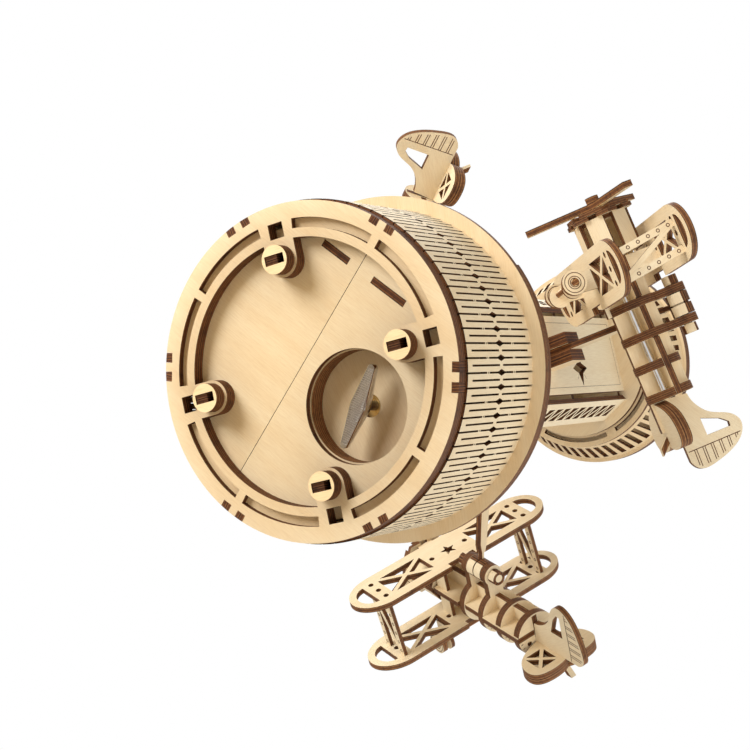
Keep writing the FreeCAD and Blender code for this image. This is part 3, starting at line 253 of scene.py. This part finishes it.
# A mesh object at the origin from whole arrays of points and faces; loose points are dropped.
def meshPiece(name, points, faces, materials, materialIndex=None, uvs=None, tone=0.3):
    faces = np.asarray(faces)
    used, corner = np.unique(faces.ravel(), return_inverse=True)
    points = np.asarray(points, float)[used]
    faces = corner.reshape(faces.shape)
    size = faces.shape[1]
    mesh = bpy.data.meshes.new(name)
    mesh.vertices.add(len(points))
    mesh.vertices.foreach_set("co", points.ravel().astype(np.float32))
    mesh.loops.add(faces.size)
    mesh.loops.foreach_set("vertex_index", faces.ravel().astype(np.int32))
    mesh.polygons.add(len(faces))
    mesh.polygons.foreach_set("loop_start", np.arange(0, faces.size, size, dtype=np.int32))
    for material in materials:
        mesh.materials.append(material)
    if materialIndex is not None:
        mesh.polygons.foreach_set("material_index", np.asarray(materialIndex, np.int32))
    layer = mesh.uv_layers.new(name="ply")
    if uvs is not None:
        layer.data.foreach_set("uv", np.asarray(uvs, np.float32).ravel())
    attribute = mesh.attributes.new("tone", "FLOAT", "FACE")
    tones = np.broadcast_to(np.asarray(tone, np.float32), (len(faces),)).copy()
    attribute.data.foreach_set("value", tones)
    mesh.update(calc_edges=True)
    mesh.validate()
    mesh.polygons.foreach_set("use_smooth", np.ones(len(mesh.polygons), bool))
    mesh.set_sharp_from_angle(angle=sharpAngle)
    piece = bpy.data.objects.new(name, mesh)
    bpy.context.scene.collection.objects.link(piece)
    return piece


# The node's triangles, with points that lie within a micrometre made one.
def mergedTriangles(name):
    mesh = nodes[name].data
    points = np.empty(len(mesh.vertices) * 3, np.float32)
    mesh.vertices.foreach_get("co", points)
    corners = np.empty(len(mesh.loops), np.int32)
    mesh.loops.foreach_get("vertex_index", corners)
    points = points.reshape(-1, 3)
    rounded = np.round(points.astype(float) * 1e6).astype(np.int64)
    first, number = np.unique(rounded, axis=0, return_index=True, return_inverse=True)[1:]
    triangles = number.ravel()[corners].reshape(-1, 3)
    whole = ((triangles[:, 0] != triangles[:, 1]) & (triangles[:, 1] != triangles[:, 2])
             & (triangles[:, 0] != triangles[:, 2]))
    return points[first].astype(float), triangles[whole]


# Number of the separate solid that each triangle belongs to. Triangles are joined where
# exactly two of them share an edge, and the lowest number spreads until nothing changes.
def solidNumbers(triangles):
    edges = np.sort(np.stack([triangles, np.roll(triangles, -1, 1)], 2), 2).reshape(-1, 2)
    number, size = np.unique(edges, axis=0, return_inverse=True, return_counts=True)[1:]
    owner = np.argsort(number.ravel(), kind="stable") // 3
    pair = (np.cumsum(size) - size)[size == 2]
    first, second = owner[pair], owner[pair + 1]
    label = np.arange(len(triangles))
    while True:
        lowest = np.minimum(label[first], label[second])
        spread = label.copy()
        np.minimum.at(spread, first, lowest)
        np.minimum.at(spread, second, lowest)
        spread = spread[spread]
        if np.array_equal(spread, label):
            break
        label = spread
    return np.unique(label, return_inverse=True)[1]


def unit(vectors):
    length = np.linalg.norm(vectors, axis=-1, keepdims=True)
    return vectors / np.maximum(length, 1e-12)


# Sum of each solid's rows.
def sumPerSolid(rows, solid, count):
    total = np.zeros((count, *rows.shape[1:]))
    np.add.at(total, solid, rows)
    return total


# Direction that each solid's vectors share most, each counted by its triangle's area.
def mainDirection(vectors, area, solid, count):
    spread = area[:, None, None] * vectors[:, :, None] * vectors[:, None, :]
    return np.linalg.eigh(sumPerSolid(spread, solid, count))[1][:, :, 2]


# Depth counted in sheets, kept just inside them so that its fraction never wraps.
def insideSheets(depth):
    return depth * 0.9998 + 0.0001


plyLook = {
    "sheet": 2.2 * mm, "thinSheet": 1.5 * mm, "thicknessSlack": 0.1 * mm,
    "level": ("tray_supports", "feet"), "blockTriangles": 12,
    "edgeBelow": 0.75, "curvedEdgeBelow": 0.6,   # cosine to the sheet's normal that makes a cut edge
    "uvShift": 40, "toneChange": (-0.07, 0.10),
    "plainTone": 0.22, "plainBurnAndShade": 0.9,
    "faceTone": {"base_ring_lower": 0.42, "base_ring_upper": 0.6, "base_panels": 0.10, "feet": 0.12,
                 "tray_supports": 0.38, "movement_tray": 0.36, "flange_plate": 0.62, "turntable": 0.55,
                 "cab_rings": 0.62, "cab_floor": 0.45, "cab_wall": 0.80, "tower_panels": 0.08,
                 "tower_lattices": 0.16, "arms": 0.5, "arm_brackets": 0.6},
    # how dark each kind's cut edges go, from the pale to the charred veneers: laser burn, with painted shade added
    # for kinds whose edges lie in shade; the plain value does the same for kinds not listed
    "edgeBurnAndShade": {"wings": 0.55, "struts": 0.7, "fuselage": 0.75, "tail": 0.5, "wheels": 0.25,
                 "propeller": 0.75, "pivot_block": 0.85, "feet": 0.8, "flange_plate": 0.6,
                 "movement_tray": 0.95, "tray_supports": 0.35},
    "grain": {"base_ring_lower": 33.0, "base_ring_upper": 33.0, "base_panels": 33.0,
              "flange_plate": 80.0, "turntable": 10.0, "movement_tray": 60.0, "cab_rings": 100.0},
}


# For each solid of a node: the sheet's normal, which most of its area faces, and the grain,
# which runs along the longest reach in the sheet unless the node's grain has an angle.
def sheetDirections(kind, centre, normal, area, solid, count):
    look = plyLook
    through = mainDirection(normal, area, solid, count)
    if kind in look["level"]:   # blocks of six faces keep their own direction
        through[np.bincount(solid) > look["blockTriangles"]] = (0.0, 0.0, 1.0)
    middle = sumPerSolid(area[:, None] * centre, solid, count) / np.bincount(solid, area)[:, None]
    offset = centre - middle[solid]
    flat = offset - (offset * through[solid]).sum(1)[:, None] * through[solid]
    along = mainDirection(flat, area, solid, count)
    if kind in look["grain"]:
        angle = math.radians(look["grain"][kind])
        along = np.tile((math.cos(angle), math.sin(angle), 0.0), (count, 1))
    return through, along


# A face's UV runs along and across the grain, from a random start for each solid. An edge's
# UV runs along the edge, and its second coordinate counts sheets through the depth.
def sheetUv(name, corner, normal, faceNormal, along, isEdge, solid, count):
    look = plyLook
    across = unit(np.cross(faceNormal, along[solid]))
    shift = np.random.default_rng(len(name) * 7 + ord(name[-1])).uniform(0, look["uvShift"], (count, 2))
    uv = np.stack([(corner * along[solid][:, None]).sum(2) * uvPerMetre + shift[solid][:, :1],
                   (corner * across[:, None]).sum(2) * uvPerMetre + shift[solid][:, 1:]], axis=2)
    height = (corner * faceNormal[:, None]).sum(2)
    low = np.full(count, np.inf)
    high = np.full(count, -np.inf)
    np.minimum.at(low, solid, height.min(1))
    np.maximum.at(high, solid, height.max(1))
    thick = high - low
    layers = np.maximum(1, np.rint(thick / look["sheet"]))
    layers = np.where(np.abs(thick - 2 * look["thinSheet"]) < look["thicknessSlack"], 2, layers)
    depth = (height - low[solid][:, None]) / thick[solid][:, None] * layers[solid][:, None]
    run = unit(np.cross(normal, faceNormal))
    edgeUv = np.stack([(corner * run[:, None]).sum(2) * uvPerMetre, insideSheets(depth)], axis=2)
    uv[isEdge] = edgeUv[isEdge]
    return uv


# A node of cut sheet. Its triangles stay as they are, and those whose normal leans away
# from the sheet's are burnt edges. Each solid has a slightly different tone.
def dressSheets(name, curved=False):
    look = plyLook
    kind = name[:-2] if name[-2:] in ("_a", "_b", "_c") else name
    points, triangles = mergedTriangles(name)
    solid = solidNumbers(triangles)
    count = solid.max() + 1
    corner = points[triangles]
    cross = np.cross(corner[:, 1] - corner[:, 0], corner[:, 2] - corner[:, 0])
    area = np.linalg.norm(cross, axis=1)
    normal = unit(cross)
    centre = corner.mean(axis=1)
    through, along = sheetDirections(kind, centre, normal, area, solid, count)
    faceNormal = through[solid]
    if curved:   # a cone's wall: the sheet's normal leaves the axis, the grain runs up
        faceNormal = unit(centre * (1.0, 1.0, 0.0))
        along = np.tile((0.0, 0.0, 1.0), (count, 1))
    isEdge = np.abs((normal * faceNormal).sum(1)) < look["curvedEdgeBelow" if curved else "edgeBelow"]
    uv = sheetUv(name, corner, normal, faceNormal, along, isEdge, solid, count)
    change = np.random.default_rng(len(kind) * 31 + ord(kind[0])).uniform(*look["toneChange"], count)
    faceTone = look["faceTone"].get(kind, look["plainTone"]) + change[solid]
    # edge tone: laser burn by kind, with painted shade added for kinds whose edges lie in shade
    edgeTone = look["edgeBurnAndShade"].get(kind, look["plainBurnAndShade"]) + change[solid]
    tone = np.clip(np.where(isEdge, edgeTone, faceTone), 0.0, 1.0)
    ownPoints = triangles + solid[:, None] * len(points)    # solids that touch share no points
    piece = meshPiece(name + "Ply", np.tile(points, (count, 1)), ownPoints, [birchFace, burntEdge],
                      isEdge, uv, tone)
    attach(piece, bodyOf[name])
    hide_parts(name)


for name in nodes:
    if slotOf[name] in metals:
        for holder in nodes[name].material_slots:
            holder.material = metals[slotOf[name]]
    elif name != "skirt":
        dressSheets(name, curved=name == "cab_wall")
print("sheets dressed")

keyLook = {
    "half": 13.7, "stations": (0.0, 6.5, 12.4), "halfWidths": (2.8, 2.0, 1.3), "bottom": 9.4,
    "depth": 4.0, "tipDepth": 2.4, "hub": 1.5, "turn": -69.0, "pitch": 0.72, "ridgeDepth": 0.3,
    "rim": 0.7606, "rimSteps": (0.3, 0.8), "round": 0.35, "roundShare": 0.2, "blunt": 0.08,
    "stepsAlong": 381, "tipSteps": (0.01, 0.03), "stepsAcross": 7, "centre": joints["key_wind"]["pos_m"],
}


# The key's wing. Its half width w falls in straight lines along s and ends in a half circle,
# w = sqrt(r^2 - (s - end)^2). Inside a smooth rim the underside is ridged across,
# z = bottom + depth * (1 - cos(2 pi s / pitch)) / 2, and the upper side slopes to the tips.
def keyWing():
    look = keyLook
    half, end, tip = look["half"], look["stations"][-1], look["halfWidths"][-1]
    near = np.array(look["tipSteps"])
    s = np.sort(np.concatenate([np.linspace(-half, half, look["stepsAlong"]), half - near, -half + near]))
    far = np.abs(s)
    tipWidth = np.sqrt(np.maximum(tip ** 2 - (far - end) ** 2, look["blunt"] ** 2))
    width = np.where(far < end, np.interp(far, look["stations"], look["halfWidths"]), tipWidth)
    rim = look["rim"] * width / look["halfWidths"][0]
    first, second = look["rimSteps"]
    shares = np.linspace(-1, 1, look["stepsAcross"])
    inside = shares[:, None] * (width - rim)[None]
    across = np.concatenate([[-width, -width + first * rim, -width + second * rim], inside,
                             [width - second * rim, width - first * rim, width]])
    ridge = look["ridgeDepth"] * (1 - np.cos(2 * math.pi * s / look["pitch"])) / 2 * (far < end)
    under = np.zeros_like(across)
    under[[0, -1]] = look["round"]
    under[[1, -2]] = look["round"] * look["roundShare"]
    under[3:-3] = ridge
    depth = np.interp(far, (look["hub"], half), (look["depth"], look["tipDepth"]))
    upper = np.broadcast_to(depth, across.shape).copy()
    upper[[0, -1]] -= look["round"]
    y = np.concatenate([across, across[::-1]])
    z = np.concatenate([under, upper[::-1]]) + look["bottom"]
    x = np.broadcast_to(s, y.shape)
    turn = math.radians(look["turn"])
    centre = look["centre"]
    points = np.stack([(x * math.cos(turn) - y * math.sin(turn)) * mm + centre[0],
                       (x * math.sin(turn) + y * math.cos(turn)) * mm + centre[1], z * mm], 2)
    rows = len(across)
    loop = 2 * rows
    j = np.arange(len(s) - 1)[:, None] * loop
    k = np.arange(loop)[None]
    after = (k + 1) % loop
    quads = np.stack([j + k, j + after, j + loop + after, j + loop + k], 2).reshape(-1, 4)
    i = np.arange(rows - 1)
    cap = np.stack([i, i + 1, loop - 2 - i, loop - 1 - i], 1)
    faces = np.concatenate([quads, cap[:, ::-1], cap + (len(s) - 1) * loop])
    piece = meshPiece("keyWing", points.transpose(1, 0, 2).reshape(-1, 3), faces, [metals["chrome"]])
    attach(piece, "key")
    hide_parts("winding_key")


keyWing()
print("key wing made")


# A bent sheet from a grid of cells, closed round its first direction: the outer and the
# inner skin hold the cells that are kept, and a wall one sheet deep stands on each side of
# a cell whose neighbour is left out.
def cellSheet(name, outer, inner, keep, skinUv, tone, edgeTone):
    columns, rows = keep.shape
    across, up = np.meshgrid(np.arange(columns), np.arange(rows), indexing="ij")

    def quads(*corners):   # each corner is a column, a row, and 0 for the outer or 1 for the inner skin
        return np.stack([(i % columns) * (rows + 1) + j + skin * columns * (rows + 1)
                         for i, j, skin in corners], 1)

    i, j = across[keep], up[keep]
    outerFaces = quads((i, j, 0), (i + 1, j, 0), (i + 1, j + 1, 0), (i, j + 1, 0))
    innerFaces = quads((i, j, 1), (i, j + 1, 1), (i + 1, j + 1, 1), (i + 1, j, 1))
    gone = ~keep
    padded = np.pad(gone, ((0, 0), (1, 1)), constant_values=True)
    sides = [(keep & np.roll(gone, 1, 0), (0, 1), (0, 0)), (keep & np.roll(gone, -1, 0), (1, 0), (1, 1)),
             (keep & padded[:, :-2], (0, 0), (1, 0)), (keep & padded[:, 2:], (1, 1), (0, 1))]
    walls = []
    for bare, start, end in sides:
        i, j = across[bare], up[bare]
        a, b = (i + start[0], j + start[1]), (i + end[0], j + end[1])
        walls.append(quads((*a, 0), (*a, 1), (*b, 1), (*b, 0)))
    walls = np.concatenate(walls)
    faces = np.concatenate([outerFaces, innerFaces, walls])
    points = np.concatenate([outer.reshape(-1, 3), inner.reshape(-1, 3)])
    uv = np.concatenate([skinUv.reshape(-1, 2)] * 2)[faces]
    skins = len(outerFaces) + len(innerFaces)
    uv[skins:, :, 1] = insideSheets(np.tile([0.0, 1.0, 1.0, 0.0], (len(walls), 1)))
    isEdge = np.arange(len(faces)) >= skins
    tones = np.where(isEdge, edgeTone, tone)
    return meshPiece(name, points, faces, [birchFace, burntEdge], isEdge, uv, tones)


skirtLook = {
    "radius": 52.7, "thickness": 2.2, "low": 8.8, "height": 45.75, "pitches": 75, "turn": 1.2,
    "slit": 0.6, "diamondWide": 2.1, "diamondHigh": 4.6, "margin": 3.0, "middleGap": 1.1,
    "breakAt": 13.6, "breakGap": 0.55, "dot": 0.5, "tone": 0.30, "edgeTone": 1.0,
}


# Living hinge round the drum. In each pitch a long slit runs from each edge to a diamond at
# half height, with two small bridges on its way that leave a dot between them, and half a
# pitch further on stand two shorter slits. The slit's side lines bend out to the diamond:
# half width = slit / 2, growing in a straight line to the diamond's half width at the middle.
def livingHinge():
    look = skirtLook
    height, middle = look["height"], look["height"] / 2
    dotLow, dotHigh = look["breakAt"] - look["dot"] / 2, look["breakAt"] + look["dot"] / 2
    breakLow, breakHigh = dotLow - look["breakGap"], dotHigh + look["breakGap"]
    lower = [0.0, look["margin"], breakLow, dotLow, dotHigh, breakHigh,
             middle - look["diamondHigh"] / 2, middle - look["middleGap"]]
    levels = np.array(lower + [middle] + [height - level for level in reversed(lower)])
    pitch = 2 * math.pi * look["radius"] / look["pitches"]
    slit = look["slit"] / 2
    near = np.clip(1 - np.abs(levels - middle) / (look["diamondHigh"] / 2), 0, 1)
    wide = slit + near * (look["diamondWide"] / 2 - slit)
    # line positions across one pitch, the diamond in its middle
    lines = np.stack([np.full_like(levels, -pitch / 2 + slit), -wide, wide,
                      np.full_like(levels, pitch / 2 - slit)])
    starts = (np.arange(look["pitches"]) + 0.5) * pitch
    around = (starts[:, None, None] + lines[None]).reshape(-1, len(levels))
    angle = around / look["radius"] + math.radians(look["turn"])
    z = np.broadcast_to(look["low"] + levels, angle.shape)

    def skin(radius):
        return np.stack([radius * np.cos(angle), radius * np.sin(angle), z], axis=2) * mm

    centre = (levels[1:] + levels[:-1]) / 2
    fromEnd = np.minimum(centre, height - centre)
    bridge = ((fromEnd > breakLow) & (fromEnd < dotLow)) | ((fromEnd > dotHigh) & (fromEnd < breakHigh))
    solidBetween = (fromEnd < look["margin"]) | (fromEnd > middle - look["middleGap"])
    keep = np.ones((len(lines) * look["pitches"], len(centre)), bool)
    keep[1::len(lines)] = bridge
    keep[3::len(lines)] = solidBetween
    uv = np.stack([z / 10, around / 10], axis=2)   # centimetres, the grain runs up
    piece = cellSheet("livingHinge", skin(look["radius"]), skin(look["radius"] - look["thickness"]), keep, uv,
                      look["tone"], look["edgeTone"])
    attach(piece, "base")
    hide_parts("skirt")


livingHinge()
print("living hinge made")


# Lines cut into a face: a small box section carried along each path, side = normal x
# tangent, standing proud of the face by a hair and sunk below it. Open ends are capped.
def engravedLines(name, body, strokes, width, proud=0.03, sink=0.25):
    points, faces = [], []
    total = 0
    for path, normal, closed in strokes:
        path = np.asarray(path, float)
        normal = unit(np.asarray(normal, float))
        if closed:
            tangent = unit(np.roll(path, -1, 0) - np.roll(path, 1, 0))
        else:
            tangent = unit(np.gradient(path, axis=0))
        side = unit(np.cross(normal, tangent)) * width / 2
        top, low = normal * proud, -normal * sink
        section = np.stack([path + side + top, path - side + top, path - side + low, path + side + low], 1)
        steps = len(path) if closed else len(path) - 1
        here = np.arange(steps)[:, None] * 4
        there = (np.arange(steps)[:, None] + 1) % len(path) * 4
        k = np.arange(4)[None]
        after = (k + 1) % 4
        quads = np.stack([here + k, here + after, there + after, there + k], 2).reshape(-1, 4)
        if not closed:
            last = (len(path) - 1) * 4
            quads = np.concatenate([quads, [[3, 2, 1, 0]], [[last, last + 1, last + 2, last + 3]]])
        points.append(section.reshape(-1, 3))
        faces.append(quads + total)
        total += len(path) * 4
    piece = meshPiece(name, np.concatenate(points) * mm, np.concatenate(faces), [engraving])
    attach(piece, body)


# Frame of a biplane at rest, as a matrix in mm: x forwards, y left, z up, origin on its pin.
def planeFrame(key):
    origin = np.array(joints["bank_" + key]["pos_m"]) / mm
    forward = unit(np.array(joints["bank_" + key]["axis"], float))
    left = unit(np.array(joints["wheels_spin_" + key]["axis"], float))
    return np.stack([forward, left, np.cross(forward, left)], 1), origin


# Points of a circle round the origin, radius * (cos, sin) of even steps of angle.
def circle(radius, steps):
    angle = np.arange(steps) * 2 * math.pi / steps
    return radius * np.cos(angle), radius * np.sin(angle)


strutLook = {"upper": (21.1, -2.7), "lower": (18.1, -26.2), "bars": (3.7, -5.7), "y": 33.9,
             "half": 0.75, "ringRadius": 0.55, "ringSteps": 10, "rings": 6}


# Rows of small rings on both faces of the two bars of each outer strut frame.
def strutRings(toWorld, turn):
    look = strutLook
    u, w = circle(look["ringRadius"], look["ringSteps"])
    strokes = []
    for side in (1, -1):
        for bar in look["bars"]:
            top = np.array((look["upper"][0] + bar, look["upper"][1]))
            low = np.array((look["lower"][0] + bar, look["lower"][1]))
            for share in (np.arange(look["rings"]) + 0.5) / look["rings"]:
                x, z = top + (low - top) * share
                for face in (1, -1):
                    y = np.full_like(u, side * look["y"] + face * look["half"])
                    strokes.append((toWorld(np.stack([x + u, y, z + w], 1)), turn @ (0, face, 0), True))
    return strokes


rudderLook = {"front": -28.9, "top": -19.1, "half": 1.1, "hinge": -20.1, "first": 19.6, "pitch": 3.2,
              "pairs": 6, "gap": 0.85, "margin": 0.8, "slope": 0.2, "endGap": 0.6,
              "heights": (0.0, 3.4, 8.5, 16.2, 21.4), "reaches": (-23.5, -27.2, -26.9, -24.5, -20.4)}


# Pairs of lines from the rudder's hinge line back to its outline, and the hinge line itself.
def rudderHatch(toWorld, turn):
    look = rudderLook
    heights = look["first"] - look["pitch"] * np.arange(look["pairs"])
    heights = np.concatenate([heights, heights - look["gap"]])
    ends = np.interp(heights, look["heights"], look["reaches"]) + look["margin"]
    lines = [((look["hinge"], z), (end, z - look["slope"])) for z, end in zip(heights, ends)]
    lines.append(((look["hinge"], look["heights"][-1] - look["endGap"]),
                  (look["hinge"], look["heights"][0] + look["endGap"])))
    strokes = []
    for start, end in lines:
        for face in (1, -1):
            path = [(look["front"] + x, face * look["half"], look["top"] + z) for x, z in (start, end)]
            strokes.append((toWorld(path), turn @ (0, face, 0), False))
    return strokes


ribLook = {"stations": (-5.8, -16.5, -27.2), "half": 1.5, "radius": 7.4, "centre": -16.3, "ticks": 11,
           "arc": (-170, -10), "tickHalf": 0.45}


# Short ticks that point outwards, along the lower arc of the ribs' faces.
def ribTicks(toWorld, turn):
    look = ribLook
    angles = np.linspace(math.radians(look["arc"][0]), math.radians(look["arc"][1]), look["ticks"])
    strokes = []
    for station in look["stations"]:
        for face in (1, -1):
            for angle in angles:
                out = np.array((math.cos(angle), math.sin(angle)))
                at = np.array((0.0, look["centre"])) + look["radius"] * out
                x = station + face * look["half"]
                path = [(x, *(at - out * look["tickHalf"])), (x, *(at + out * look["tickHalf"]))]
                strokes.append((toWorld(path), turn @ (face, 0, 0), False))
    return strokes


# All the lines burnt into one biplane, in one piece.
def planeLines(key):
    turn, origin = planeFrame(key)

    def toWorld(points):
        return np.asarray(points, float) @ turn.T + origin

    strokes = strutRings(toWorld, turn) + rudderHatch(toWorld, turn) + ribTicks(toWorld, turn)
    engravedLines("planeLines_" + key, "plane_" + key, strokes, width=0.3)


wheelLook = {"x": 19.8, "y": 14.0, "z": -36.2, "half": 1.1, "radii": (1.5, 2.2, 3.5), "steps": 28}


# Rings round the hub on both faces of a biplane's two wheels.
def wheelLines(key):
    turn, origin = planeFrame(key)
    look = wheelLook
    strokes = []
    for side in (1, -1):
        for face in (1, -1):
            for radius in look["radii"]:
                u, w = circle(radius, look["steps"])
                y = np.full_like(u, side * look["y"] + face * look["half"])
                local = np.stack([look["x"] + u, y, look["z"] + w], 1)
                strokes.append((local @ turn.T + origin, turn @ (0, face, 0), True))
    engravedLines("wheelLines_" + key, "wheels_" + key, strokes, width=0.28)


for key in "abc":
    planeLines(key)
    wheelLines(key)

panelLook = {"turn": -15.4, "apothem": 18.3, "half": 15.2, "low": 62.8, "high": 216.9, "inset": 2.6,
             "emblem": (5.3, 175.7), "rays": 4, "firstRay": 45, "rayReach": (3.6, 6.0), "panels": 3}


# A fine frame line on each broad panel, and four short rays round its star.
def panelLines():
    look = panelLook
    half = look["half"] - look["inset"]
    low, high = look["low"] + look["inset"], look["high"] - look["inset"]
    corners = np.array([(-half, low), (half, low), (half, high), (-half, high), (-half, low)])
    lines = list(zip(corners[:-1], corners[1:]))
    for ray in range(look["rays"]):
        angle = math.radians(look["firstRay"] + 360 / look["rays"] * ray)
        direction = np.array((math.cos(angle), math.sin(angle)))
        lines.append([look["emblem"] + reach * direction for reach in look["rayReach"]])
    strokes = []
    for i in range(look["panels"]):
        angle = math.radians(look["turn"] + 360 / look["panels"] * i)
        out = np.array((math.cos(angle), math.sin(angle), 0))
        side = np.array((-math.sin(angle), math.cos(angle), 0))
        for line in lines:
            flat = np.array(line)
            path = out * look["apothem"] + side * flat[:, :1] + np.array((0, 0, 1)) * flat[:, 1:]
            strokes.append((path, out, False))
    engravedLines("panelLines", "carousel", strokes, width=0.14)


panelLines()
print("engraving made")

# the turn is a vector whose length is the angle; the shift counts units of 52 mm
cameraLook = {
    "focal": 1655.27, "imageWidth": 750.0, "sensor": 36.0, "unit": 0.052, "lift": 0.0044,
    "turn": (0.022609417, 0.511808262, 0.026567002),
    "shift": (-0.406318849, -0.017872587, 9.633389454),
    "clip": (0.01, 20.0),
}


def addCamera():
    look = cameraLook
    turn = Vector(look["turn"])
    back = Matrix.Rotation(turn.length, 3, turn.normalized()).transposed()
    place = -(back @ Vector(look["shift"])) * look["unit"] + Vector((0, 0, look["lift"]))
    flip = Matrix(((1, 0, 0), (0, -1, 0), (0, 0, -1)))   # the camera looks down its own -z
    data = bpy.data.cameras.new("camera")
    data.sensor_width = look["sensor"]
    data.lens = look["focal"] * look["sensor"] / look["imageWidth"]
    data.clip_start, data.clip_end = look["clip"]
    camera = bpy.data.objects.new("camera", data)
    camera.matrix_world = Matrix.Translation(place) @ (back @ flip).to_4x4()
    bpy.context.scene.collection.objects.link(camera)
    bpy.context.scene.camera = camera


addCamera()

lampTarget = Vector((0.0, 0.0, 0.08))
lampLook = {
    "key": {"place": (-0.55, -0.62, -0.62), "size": 0.55, "watts": 10.0},
    "fill": {"place": (0.75, 0.35, -0.45), "size": 0.9, "watts": 3.2},
    "top": {"place": (-0.5, -0.5, 1.15), "size": 0.9, "watts": 10.0},
    "back": {"place": (0.7, 0.6, 0.7), "size": 0.8, "watts": 3.5},
}


# A round soft lamp that points at the object's middle.
def addLamp(name, look):
    data = bpy.data.lights.new(name, "AREA")
    data.shape = "DISK"
    data.size = look["size"]
    data.energy = look["watts"]
    lamp = bpy.data.objects.new(name + "Lamp", data)
    place = Vector(look["place"])
    turn = (lampTarget - place).to_track_quat("-Z", "Y").to_matrix().to_4x4()
    lamp.matrix_world = Matrix.Translation(place) @ turn
    bpy.context.scene.collection.objects.link(lamp)


for name, look in lampLook.items():
    addLamp(name, look)

floorLook = {"size": 6.0, "colour": (0.86, 0.86, 0.85), "light": (0.90, 0.90, 0.89), "clouds": (2.0, 3.0, 0.5)}


# Pale table top. From below it is clear, and its own shadow is off, so the lamps under it
# reach the drum's underside; from above it keeps the object's shadow.
def addFloor():
    look = floorLook
    half = look["size"] / 2
    points = np.array([(-half, -half, 0), (half, -half, 0), (half, half, 0), (-half, half, 0)])
    material, tree, shader = startMaterial("tableTop", Roughness=0.9)
    place = addNode(tree, "ShaderNodeTexCoord").outputs["Object"]
    cloud = noise(tree, place, *look["clouds"])
    colour = mixColour(tree, mapRange(tree, cloud, 0.3, 0.7, 0.0, 1.0), look["colour"], look["light"])
    tree.links.new(colour, shader.inputs["Base Color"])
    behind = addNode(tree, "ShaderNodeNewGeometry").outputs["Backfacing"]
    clear = addNode(tree, "ShaderNodeBsdfTransparent")
    mix = addNode(tree, "ShaderNodeMixShader")
    tree.links.new(behind, mix.inputs[0])
    tree.links.new(shader.outputs[0], mix.inputs[1])
    tree.links.new(clear.outputs[0], mix.inputs[2])
    tree.links.new(mix.outputs[0], tree.nodes["Material Output"].inputs["Surface"])
    floor = meshPiece("tableTop", points, [[0, 1, 2, 3]], [material])
    floor.visible_shadow = False


addFloor()

worldLook = {"colour": (1.0, 1.0, 1.0, 1.0), "ambient": 0.40, "background": 1.0}


# White world: full strength behind the object and in glass and metal, dimmer as a light.
def addWorld():
    look = worldLook
    world = bpy.data.worlds.new("studio")
    bpy.context.scene.world = world
    world.use_nodes = True
    tree = world.node_tree
    background = tree.nodes["Background"]
    background.inputs["Color"].default_value = look["colour"]
    rays = addNode(tree, "ShaderNodeLightPath")
    seen = addNode(tree, "ShaderNodeMath", operation="MAXIMUM")
    tree.links.new(rays.outputs["Is Camera Ray"], seen.inputs[0])
    tree.links.new(rays.outputs["Is Transmission Ray"], seen.inputs[1])
    bright = addNode(tree, "ShaderNodeMath", operation="MAXIMUM")
    tree.links.new(seen.outputs[0], bright.inputs[0])
    tree.links.new(rays.outputs["Is Glossy Ray"], bright.inputs[1])
    strength = mapRange(tree, bright.outputs[0], 0.0, 1.0, look["ambient"], look["background"])
    tree.links.new(strength, background.inputs["Strength"])


addWorld()
bpy.context.scene.view_settings.view_transform = "Standard"
print("camera, lamps, floor and world set")
